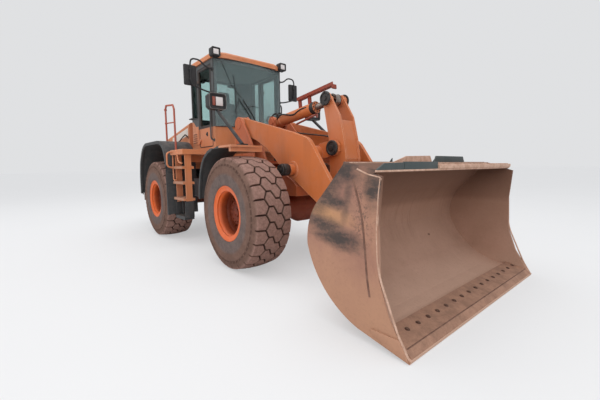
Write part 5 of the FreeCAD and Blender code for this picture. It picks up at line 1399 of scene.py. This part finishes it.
def headliner_trim(body):
    """The padded ceiling panel."""
    outline = [
        (0.06, -0.66), (0.10, -0.40), (0.125, 0.0), (0.10, 0.40), (0.06, 0.66),
        (-0.93, 0.66), (-1.17, 0.46), (-1.17, -0.46), (-0.93, -0.66),
    ]
    liner = slab([(PIVOT_X + a, b) for a, b in outline], "z", 3.355, 3.405, 0.012)
    place(liner, "headliner", body, "liner_grey", "frame_dark")


def louvre_trim(body):
    """Vents low on the cab's rear sides."""
    louvre = []
    slots = []
    for side in BOTH:
        y = side * CAB_SIDE
        louvre.append(block(at(-2.530, y, 1.900), at(-2.245, y + side * 0.010, 2.265), 0.005))
        for i in range(5):
            z = 1.945 + i * 0.041
            near = at(-2.496, y + side * 0.0085, z)
            slots.append(block(near, at(-2.320, y + side * 0.0115, z + 0.018), 0.001))
            outline = ((0.009, 0.018), (0.024, 0.008), (0.026, 0.013), (0.009, 0.030))
            fin = [(y + side * a, z + b) for a, b in outline]
            louvre.append(slab(fin, "x", FRONT_X - 2.500, FRONT_X - 2.316, 0.0))
        louvre.append(block(at(-2.265, y + side * 0.009, 1.95), at(-2.250, y + side * 0.016, 2.22), 0.003))
    place(joined(louvre), "cab_louvres", body, "body_orange", "body_orange")
    place(joined(slots), "louvre_slots", body, "grease_black", "frame_dark")


def door_trim(name, side):
    """Seals, handle plate and pull of one door."""
    y = side * (CAB_SIDE + 0.0005)
    door = [(-1.628, 2.27), (-1.628, 1.850), (-2.202, 1.850), (-2.202, 3.320), (-1.628, 3.320), (-1.628, 2.27)]
    window = [
        (-1.660, 2.60), (-1.660, 2.236), (-2.155, 2.236), (-2.155, 3.290), (-1.660, 3.290), (-1.660, 2.60),
    ]
    pull_in = y + side * 0.004
    pull = [at(-1.86, pull_in, 2.06), at(-1.86, y + side * 0.026, 2.075), at(-1.86, pull_in, 2.115)]
    seal = [
        side_pipe(door, y, 0.006, 0.03, 2),
        side_pipe(window, y, 0.009, 0.05, 2),
        block(at(-1.885, y, 2.045), at(-1.835, pull_in, 2.125), 0.002),
        pipe(pull, 0.006, 0.01, 2),
    ]
    place(joined(seal), "door_seals_" + name, "door_body_" + name, "rubber_black", "rubber_black")


def window_trim(body):
    """Seals round the fixed side and rear panes, and the mirror arms' feet."""
    seals = []
    for side in BOTH:
        y = side * (CAB_SIDE + 0.001)
        points = [(-0.905, 2.43), (-0.665, 2.43), (-0.665, 3.335), (-0.905, 3.335), (-0.905, 2.43)]
        seals.append(pipe([(PIVOT_X + a, y, b) for a, b in points], 0.010, 0.03, 2))
        seals.append(drum(at(-2.56, side * 0.75, 2.45), at(-2.56, side * 0.775, 2.45), 0.018, 16, 0.003))
        seals.append(block(at(-2.665, side * 0.700, 2.44), at(-2.458, side * 0.776, 2.462), 0.006))
    points = [(-0.43, 2.48), (0.43, 2.48), (0.43, 3.335), (-0.43, 3.335), (-0.43, 2.48)]
    seals.append(pipe([(PIVOT_X - 1.2505, a, b) for a, b in points], 0.012, 0.05, 2))
    place(joined(seals), "window_seals", body, "rubber_black", "rubber_black")


def handle_trim(body):
    """Upright tube handles beside the windscreen."""
    handles = []
    x = PIVOT_X + 0.035
    for side in BOTH:
        y = side * 0.815
        foot = side * 0.755
        route = [(x, foot, 2.745), (x, y, 2.745), (x, y, 1.955), (x, foot, 1.955)]
        handles.append(pipe(route, 0.0150, 0.05, 4))
        for z in (2.745, 1.955):
            handles.append(drum((x, side * 0.750, z), (x, side * 0.758, z), 0.030, 20, 0.003))
    place(joined(handles), "tube_handles", body, "pillar_grey", "frame_dark", ("grab_rails",))


def wiper_trim(body):
    """Wiper arms and blades on the windscreen, with their spindles."""
    glass = GLASS_FRONT
    upright = [at(-1.405, -0.385, 2.23), at(-1.385, -0.385, 2.444), at(-1.395, -0.370, 2.842)]
    upright.append(at(-1.42, -0.405, 3.145))
    blade = [at(-1.40, -0.261, 2.76), at(-1.425, -0.44, 2.95), at(-1.47, -0.607, 3.371)]
    wipers = [pipe(upright, 0.006, 0.02), pipe(blade, 0.005, 0.02)]
    for a, b in ((0.10, 0.0), (0.02, -0.01)):
        arm = [(glass - 0.014, a, 2.24), (glass - 0.002, a - 0.13, 2.46), (glass - 0.004, a - 0.33 + b, 2.72)]
        wipers.append(pipe(arm, 0.009, 0.03))
    hook = [(glass + 0.004, -0.31, 2.70), (glass + 0.006, -0.40, 2.50), (glass + 0.004, -0.385, 2.44)]
    wipers.append(pipe(hook, 0.007, 0.02))
    link = [(glass - 0.006, -0.18, 2.56), (glass + 0.004, -0.05, 2.62), (glass - 0.002, 0.12, 2.60)]
    wipers.append(pipe(link, 0.006, 0.04))
    for y in (0.10, -0.385):
        wipers.append(drum((glass - 0.030, y, 2.235), (glass + 0.010, y, 2.235), 0.022, 20, 0.004))
    place(joined(wipers), "wipers", body, "plastic_black", "plastic_black")


def mirror_trim(body):
    """Mirror housings with rounded edges behind their tube hoops."""
    housings = []
    faces = []
    x = -1.556
    for side in BOTH:
        y = side * 1.150
        shell = block(at(-1.618, y - 0.112, 2.875), at(-1.566, y + 0.112, 3.225), 0.0)
        housings.append(soften(shell, 0.022, 4))
        faces.append(block(at(-1.6205, y - 0.098, 2.895), at(-1.6175, y + 0.098, 3.205), 0.001))
        hoop = [
            (x, 0.752, 3.215), (x, 0.870, 3.235), (x, 0.985, 3.330), (x, 1.120, 3.330),
            (x + 0.004, 1.155, 3.280), (x + 0.004, 1.155, 2.930), (x, 1.120, 2.880), (x, 0.900, 2.815),
            (x, 0.752, 2.792),
        ]
        housings.append(pipe([at(a, side * b, c) for a, b, c in hoop], 0.014, 0.045, 4))
        for z in (3.215, 2.792):
            housings.append(drum(at(x, side * 0.750, z), at(x, side * 0.775, z), 0.032, 20, 0.004))
        for z in (3.14, 2.97):
            housings.append(block(at(-1.572, y - 0.030, z - 0.018), at(-1.540, y + 0.020, z + 0.018), 0.005))
    place(joined(housings), "mirror_housings", body, "plastic_black", "plastic_black", ("mirrors",))
    place(joined(faces), "mirror_faces", body, "mirror_face", "plastic_black")


def seat_trim(body):
    """The driver's seat: cushion, back and headrest with rounded edges."""
    parts = (
        ("seat_cushion", [(-0.88, 0.0), (-0.89, 0.13), (-0.43, 0.16), (-0.40, 0.11), (-0.41, 0.0)], 0.24),
        ("seat_back", [(-0.88, 0.10), (-1.01, 0.68), (-0.96, 0.72), (-0.89, 0.70), (-0.75, 0.12)], 0.23),
        ("seat_headrest", [(-1.00, 0.69), (-1.04, 0.93), (-0.96, 0.95), (-0.92, 0.70)], 0.13),
    )
    base = 2.1453
    for name, outline, half in parts:
        piece = pad([(PIVOT_X + a, base + b) for a, b in outline], half)
        replaced = ("seat",) if name == "seat_cushion" else ()
        place(piece, name, body, "seat_fabric", "seat_fabric", replaced)


def make_cab_trim():
    """Windscreen, headliner, louvres, seals, handles, wipers, mirrors and seat of the cab."""
    body = "rear_machine"
    windscreen_trim(body)
    headliner_trim(body)
    louvre_trim(body)
    for name, side in SIDES:
        door_trim(name, side)
    window_trim(body)
    handle_trim(body)
    wiper_trim(body)
    mirror_trim(body)
    seat_trim(body)


def make_lamp_lenses():
    """Rounded headlamp housings with their lenses, and the work lamps' lenses."""
    face = FRONT_X - 0.85 + 0.065
    z = 2.49
    for name, side in SIDES:
        y = side * 1.05
        body = "front_machine"
        rim = rounded_frame(face, y, z, 0.145, 0.125, 0.045, 0.030, 0.014)
        place(rim, "headlamp_rim_" + name, body, "plastic_black", "plastic_black")
        # A thin pale ring on the rim's front: a painted highlight.
        glint = rounded_frame(face + 0.0145, y, z, 0.146, 0.126, 0.046, 0.006, 0.003)
        place(glint, "headlamp_glint_ring_" + name, body, "glint_ring_steel", "plastic_black")
        parts = (
            ("headlamp_lens_", "lens_white", 0.032, -0.088, 0.010),
            ("headlamp_signal_", "lens_amber", 0.040, 0.092, 0.008),
        )
        for title, finish, one, two, bevel in parts:
            low, high = sorted((y + side * one, y + side * two))
            pane = block((face + 0.0005, low, z - 0.068), (face + 0.012, high, z + 0.068), bevel)
            place(pane, title + name, body, finish, "plastic_black")
    lenses = []
    frames = []
    for side in BOTH:
        y = side * 0.7378
        x = PIVOT_X + 0.2005
        lenses.append(block((x, y - 0.050, 3.44), (x + 0.007, y + 0.050, 3.53), 0.006))
        frames.append(rounded_frame(x, y, 3.485, 0.082, 0.074, 0.020, 0.020, 0.013))
        y = side * 0.365
        x = PIVOT_X - 1.3405
        lenses.append(block((x - 0.006, y - 0.055, 3.318), (x, y + 0.055, 3.387), 0.004))
        frames.append(rounded_frame(x - 0.012, y, 3.3525, 0.074, 0.052, 0.014, 0.014, 0.012))
    place(joined(lenses), "work_lamp_lenses", "rear_machine", "lens_white", "plastic_black")
    place(joined(frames), "work_lamp_rims", "rear_machine", "plastic_black", "plastic_black")


# Guards, steps, hood and rear
REAR_GUARDS = ("rear_mudguards",)
STEP_LEVELS = (0.870, 1.170, 1.450)
HOOD_SIDE = 0.700
HOOD_HOOP = [
    (-3.814, 0.702, 1.760), (-3.80, 0.745, 1.790), (-3.386, 0.755, 2.016),
    (-2.990, 0.755, 2.170), (-2.920, 0.745, 2.150), (-2.905, 0.702, 2.085),
]
GRILLE_X = REAR_X - 1.560
STACK_X = FRONT_X - 3.350


def rear_guard(name, side):
    """One rubber mudguard over a rear wheel, with its bracket."""
    x = REAR_X
    path = [
        (x + 0.915, 0.560), (x + 0.905, 1.560), (x + 0.850, 1.760), (x + 0.720, 1.910), (x + 0.520, 1.975),
        (x - 0.420, 1.975), (x - 0.640, 1.880), (x - 0.850, 1.600), (x - 0.920, 1.300), (x - 0.935, 0.880),
    ]
    parts = [bent_sheet(path, side * 0.830, side * 1.400, 0.036, 0.09)]
    inset = [(a + (0.014 if a < x else -0.014), b - 0.012) for a, b in path]
    parts.append(bent_sheet(inset, side * 1.372, side * 1.418, 0.060, 0.09, 0.008))
    for rise in (0.86, 1.12, 1.38):
        parts.append(block((x + 0.888, side * 0.84, rise), (x + 0.934, side * 1.39, rise + 0.02), 0.005))
    place(joined(parts), "mudguard_rear_" + name, "rear_machine", "rubber_black", "rubber_black", REAR_GUARDS)
    top = 1.955
    bracket = [
        block((x - 0.040, side * 0.710, top - 0.06), (x + 0.040, side * 0.930, top), 0.005),
        block((x - 0.040, side * 0.710, 1.180), (x + 0.040, side * 0.760, top), 0.005),
        block((x - 0.040, side * 0.400, 1.180), (x + 0.040, side * 0.760, 1.240), 0.005),
    ]
    title = "mudguard_bracket_" + name
    place(joined(bracket), title, "rear_machine", "frame_dark", "rubber_black", REAR_GUARDS)


def front_guard(name, side):
    """One rubber fender behind a front wheel, with its bolted strip."""
    f = FRONT_X
    path = [
        (f - 0.151, 1.734), (f - 0.460, 1.706), (f - 0.700, 1.576), (f - 0.810, 1.386), (f - 0.885, 1.096),
        (f - 0.890, 0.956),
    ]
    flap = bent_sheet(path, side * 0.905, side * 1.360, 0.016, 0.09)
    inset = [(a, b - 0.006) for a, b in path]
    edge = bent_sheet(inset, side * 1.345, side * 1.380, 0.040, 0.09, 0.006)
    band = joined([flap, edge])
    title = "front_fender_rubber_" + name
    place(band, title, "front_machine", "rubber_black", "rubber_black", ("front_flaps",))
    bolts = [hex_bolt((f - 0.19, side * (0.95 + 0.09 * i), 1.738), (0, 0, 1), 0.010, 0.010) for i in range(5)]
    bolts.append(block((f - 0.21, side * 0.91, 1.7340), (f - 0.165, side * 1.37, 1.7395), 0.002))
    place(joined(bolts), "fender_bolts_" + name, "front_machine", "step_pale", "body_orange")


def make_guards():
    """Rounded rubber mudguards over the rear wheels and rubber fenders behind the front wheels."""
    for name, side in SIDES:
        rear_guard(name, side)
        front_guard(name, side)


def make_ladder_trim():
    """Grips on the steps, tube hoops, the hung rubber step and the handrail's knobs."""
    body = "rear_machine"
    treads = []
    tubes = []
    mats = []
    rails = []
    for side in BOTH:
        for level in STEP_LEVELS:
            low = level + 0.020
            treads.append(block(at(-2.197, side * 1.112, low), at(-1.708, side * 1.318, low + 0.006), 0.002))
            for i in range(12):
                start = at(-2.17 + 0.04 * i, side * 1.125, low + 0.006)
                end = at(-2.17 + 0.04 * i + 0.012, side * 1.305, low + 0.012)
                treads.append(block(start, end, 0.002))
            y0 = side * 1.3165
            y1 = side * 1.3235
            treads.append(block(at(-2.20, y0, level - 0.020), at(-1.705, y1, level + 0.026), 0.003))
        y = side * 1.290
        far = side * 1.436
        x = -2.150
        rear_hoop = [at(x, y, 1.745), at(x, far, 1.740), at(x, far, 1.470), at(x, y, 1.448)]
        tubes.append(pipe(rear_hoop, 0.016, 0.06, 4))
        y = side * 1.324
        front_rail = [at(-1.945, y, 1.774), at(-1.875, y, 1.554), at(-1.72, y, 1.530)]
        tubes.append(pipe(front_rail, 0.015, 0.06, 4))
        u_shape = [from_front(a, b) for a, b in ((-2.19, 0.84), (-2.19, 0.54), (-1.71, 0.54), (-1.71, 0.84))]
        mats.append(bent_sheet(u_shape, side * 1.135, side * 1.300, 0.016, 0.02))
        for i in range(9):
            x = -2.15 + 0.05 * i
            mats.append(block(at(x, side * 1.14, 0.548), at(x + 0.016, side * 1.295, 0.558), 0.002))
        y = side * 1.230
        rails.append(drum(at(-2.705, y, 2.585), at(-2.705, y, 2.625), 0.026, 16, 0.006))
        rails.append(drum(at(-2.705, y, 2.325), at(-2.705, y, 2.355), 0.024, 16, 0.006))
    place(joined(treads), "step_grips", body, "step_pale", "body_orange")
    place(joined(tubes), "ladder_hoops", body, "body_orange", "body_orange")
    place(joined(mats), "hung_step_mats", body, "rubber_black", "rubber_black")
    place(joined(rails), "handrail_knobs", body, "rail_red", "arm_orange")


def hood_side_z(x):
    """The height of the hood's side edge at a place from the front axle."""
    back = REAR_X - FRONT_X - 1.150
    front = -1.600 - 1.270
    share = (x - back) / (front - back)
    return 2.170 + (2.420 - 2.170) * share - 0.044


def make_hood_trim():
    """Stripe, seams, latches, grab hoops and grille bars of the hood."""
    body = "rear_machine"
    stripes = []
    seams = []
    latches = []
    hoops = []
    for side in BOTH:
        y = side * HOOD_SIDE
        low = [(-3.90, hood_side_z(-3.90) - 0.185), (-2.94, hood_side_z(-2.94) - 0.215)]
        high = [(-2.94, hood_side_z(-2.94) - 0.055), (-3.90, hood_side_z(-3.90) - 0.045)]
        stripes.append(slab([from_front(a, b) for a, b in low + high], "y", y, y + side * 0.0016, 0.0))
        for x in (-3.62, -4.15):
            top = hood_side_z(x) - 0.01
            seams.append(block(at(x, y, 1.47), at(x + 0.008, y + side * 0.0022, top), 0.0008))
        seams.append(block(at(-4.70, y, 1.96), at(-2.90, y + side * 0.0022, 1.967), 0.0008))
        for x in (-3.10, -3.50, -3.95, -4.45):
            latches.append(block(at(x, y, 1.52), at(x + 0.07, y + side * 0.012, 1.57), 0.004))
            knob_in = at(x + 0.035, y + side * 0.011, 1.545)
            knob_out = at(x + 0.035, y + side * 0.018, 1.545)
            latches.append(drum(knob_in, knob_out, 0.012, 16, 0.002))
        for x in (-3.70, -4.25):
            for z in (1.60, 1.88):
                hinge_y = y + side * 0.006
                latches.append(drum(at(x, hinge_y, z), at(x, hinge_y, z + 0.07), 0.011, 16, 0.002))
        hoops.append(pipe([at(a, side * b, c) for a, b, c in HOOD_HOOP], 0.012, 0.14, 3))
    place(joined(stripes), "hood_stripes", body, "stripe_pale", "body_orange")
    place(joined(seams), "hood_seams", body, "grease_black", "frame_dark")
    place(joined(latches), "hood_latches", body, "plastic_black", "plastic_black")
    place(joined(hoops), "hood_grab_hoops", body, "frame_dark", "frame_dark")
    bars = []
    back = GRILLE_X
    for i in range(13):
        z = 1.520 + 0.029 * i
        bars.append(block((back - 0.0125, -0.500, z), (back - 0.001, 0.500, z + 0.010), 0.003))
    for y in (-0.505, -0.25, 0.0, 0.25, 0.505):
        bars.append(block((back - 0.0135, y - 0.008, 1.505), (back - 0.001, y + 0.008, 1.895), 0.003))
    place(joined(bars), "grille_bars", body, "plastic_black", "plastic_black")
    front = back - 0.012
    border = [
        block((front, -0.545, 1.480), (back, 0.545, 1.500), 0.004),
        block((front, -0.545, 1.900), (back, 0.545, 1.920), 0.004),
        block((front, -0.545, 1.480), (back, -0.523, 1.920), 0.004),
        block((front, 0.523, 1.480), (back, 0.545, 1.920), 0.004),
    ]
    place(joined(border), "grille_frame", body, "body_orange", "body_orange")
    caps = []
    rings = (
        (-0.250, 2.30, 2.335, 0.092, 40, 0.006),
        (0.230, 2.30, 2.335, 0.100, 40, 0.006),
        (-0.250, 2.80, 2.83, 0.070, 32, 0.004),
        (0.230, 2.755, 2.775, 0.060, 32, 0.008),
        (0.230, 2.640, 2.655, 0.128, 40, 0.004),
    )
    for y, low_z, high_z, radius, sides, bevel in rings:
        caps.append(drum((STACK_X, y, low_z), (STACK_X, y, high_z), radius, sides, bevel))
    place(joined(caps), "stack_collars", body, "pipe_dark", "pipe_dark")


def make_rear_trim():
    """Tail lamps, lifting eyes and bolts at the rear."""
    body = "rear_machine"
    red = []
    amber = []
    shells = []
    x = GRILLE_X
    for side in BOTH:
        y = side * 0.625
        shells.append(rounded_frame(x - 0.030, y, 1.66, 0.060, 0.115, 0.020, 0.012, 0.030))
        red.append(block((x - 0.020, y - 0.045, 1.56), (x - 0.002, y + 0.045, 1.67), 0.006))
        amber.append(block((x - 0.020, y - 0.045, 1.675), (x - 0.002, y + 0.045, 1.76), 0.006))
    place(joined(shells), "tail_lamp_shells", body, "plastic_black", "plastic_black")
    place(joined(red), "tail_lamp_red", body, "lens_red", "plastic_black")
    place(joined(amber), "tail_lamp_amber", body, "lens_amber", "plastic_black")
    details = []
    eye_ring = [(-0.012, 0.022), (-0.012, 0.044), (0.012, 0.044), (0.012, 0.022), (-0.012, 0.022)]
    for side in BOTH:
        for z in (0.80, 1.25):
            for x in (-1.62, -1.78):
                details.append(hex_bolt((REAR_X + x, side * 1.150, z), (0, side, 0), 0.020, 0.016))
        y = side * 0.90
        details.append(spin(eye_ring, (REAR_X - 1.75, y, 1.466), 28, (1, 0, 0)))
        details.append(block((REAR_X - 1.78, y - 0.03, 1.428), (REAR_X - 1.72, y + 0.03, 1.438), 0.003))
    place(joined(details), "counterweight_trim", body, "frame_dark", "frame_dark")


# Operators


def run_pieces(step):
    """Runs one group of pieces for its operator."""
    step()
    return {"FINISHED"}


class LOADER_OT_finishes(bpy.types.Operator):
    """Makes the finishes and gives each CAD node its own"""

    bl_idname = "loader.finishes"
    bl_label = "Finishes"

    def execute(self, context):
        make_finishes()
        dress_nodes()
        return {"FINISHED"}


class LOADER_OT_stage(bpy.types.Operator):
    """Makes the floor, the lamps, the world and the camera"""

    bl_idname = "loader.stage"
    bl_label = "Stage"

    def execute(self, context):
        return run_pieces(make_stage)


class LOADER_OT_tyres(bpy.types.Operator):
    """Models the tyres with their tread blocks"""

    bl_idname = "loader.tyres"
    bl_label = "Tyres"

    def execute(self, context):
        return run_pieces(make_tyres)


class LOADER_OT_rims(bpy.types.Operator):
    """Models the rims, hubs and wheel bolts"""

    bl_idname = "loader.rims"
    bl_label = "Rims"

    def execute(self, context):
        return run_pieces(make_rims)


class LOADER_OT_bucket(bpy.types.Operator):
    """Models the bucket's bolts, strips and lips"""

    bl_idname = "loader.bucket"
    bl_label = "Bucket trim"

    def execute(self, context):
        return run_pieces(make_bucket_trim)


class LOADER_OT_linkage(bpy.types.Operator):
    """Models the pin covers, hoses and pipes of the linkage"""

    bl_idname = "loader.linkage"
    bl_label = "Linkage trim"

    def execute(self, context):
        return run_pieces(make_linkage_trim)


class LOADER_OT_cab(bpy.types.Operator):
    """Models the cab's seals, louvres and wipers"""

    bl_idname = "loader.cab"
    bl_label = "Cab trim"

    def execute(self, context):
        return run_pieces(make_cab_trim)


class LOADER_OT_lamps(bpy.types.Operator):
    """Models the lamps' lenses and bezels"""

    bl_idname = "loader.lamps"
    bl_label = "Lamps"

    def execute(self, context):
        return run_pieces(make_lamp_lenses)


class LOADER_OT_guards(bpy.types.Operator):
    """Models the rubber mudguards and fenders"""

    bl_idname = "loader.guards"
    bl_label = "Mudguards"

    def execute(self, context):
        return run_pieces(make_guards)


class LOADER_OT_steps(bpy.types.Operator):
    """Models the ladders' grips, hoops and mats"""

    bl_idname = "loader.steps"
    bl_label = "Ladders"

    def execute(self, context):
        return run_pieces(make_ladder_trim)


class LOADER_OT_hood(bpy.types.Operator):
    """Models the hood's stripe, seams, latches and grille"""

    bl_idname = "loader.hood"
    bl_label = "Hood trim"

    def execute(self, context):
        return run_pieces(make_hood_trim)


class LOADER_OT_rear(bpy.types.Operator):
    """Models the tail lamps and the counterweight's trim"""

    bl_idname = "loader.rear"
    bl_label = "Rear trim"

    def execute(self, context):
        return run_pieces(make_rear_trim)


OPERATORS = [
    LOADER_OT_finishes,
    LOADER_OT_stage,
    LOADER_OT_tyres,
    LOADER_OT_rims,
    LOADER_OT_bucket,
    LOADER_OT_linkage,
    LOADER_OT_cab,
    LOADER_OT_lamps,
    LOADER_OT_guards,
    LOADER_OT_steps,
    LOADER_OT_hood,
    LOADER_OT_rear,
]


class LOADER_PT_panel(bpy.types.Panel):
    """Lists the loader's pieces"""

    bl_idname = "LOADER_PT_panel"
    bl_label = "Wheel loader"
    bl_space_type = "VIEW_3D"
    bl_region_type = "UI"
    bl_category = "Loader"

    def draw(self, context):
        for operator in OPERATORS:
            self.layout.operator(operator.bl_idname)
        for group in (context.scene.loader_sizes, context.scene.loader_colours):
            for name in group.__annotations__:
                self.layout.prop(group, name)


CLASSES = [LoaderSizes, LoaderColours] + OPERATORS + [LOADER_PT_panel]


def register():
    """Adds the classes and the scene's two property groups."""
    for item in CLASSES:
        bpy.utils.register_class(item)
    bpy.types.Scene.loader_sizes = bpy.props.PointerProperty(type=LoaderSizes)
    bpy.types.Scene.loader_colours = bpy.props.PointerProperty(type=LoaderColours)


def unregister():
    """Takes them out again."""
    del bpy.types.Scene.loader_colours
    del bpy.types.Scene.loader_sizes
    for item in reversed(CLASSES):
        bpy.utils.unregister_class(item)


def main():
    """Builds every piece in order."""
    register()
    bpy.ops.loader.finishes()
    bpy.ops.loader.stage()
    bpy.ops.loader.tyres()
    bpy.ops.loader.rims()
    bpy.ops.loader.bucket()
    bpy.ops.loader.linkage()
    bpy.ops.loader.cab()
    bpy.ops.loader.lamps()
    bpy.ops.loader.guards()
    bpy.ops.loader.steps()
    bpy.ops.loader.hood()
    bpy.ops.loader.rear()


if __name__ == "__main__":
    main()
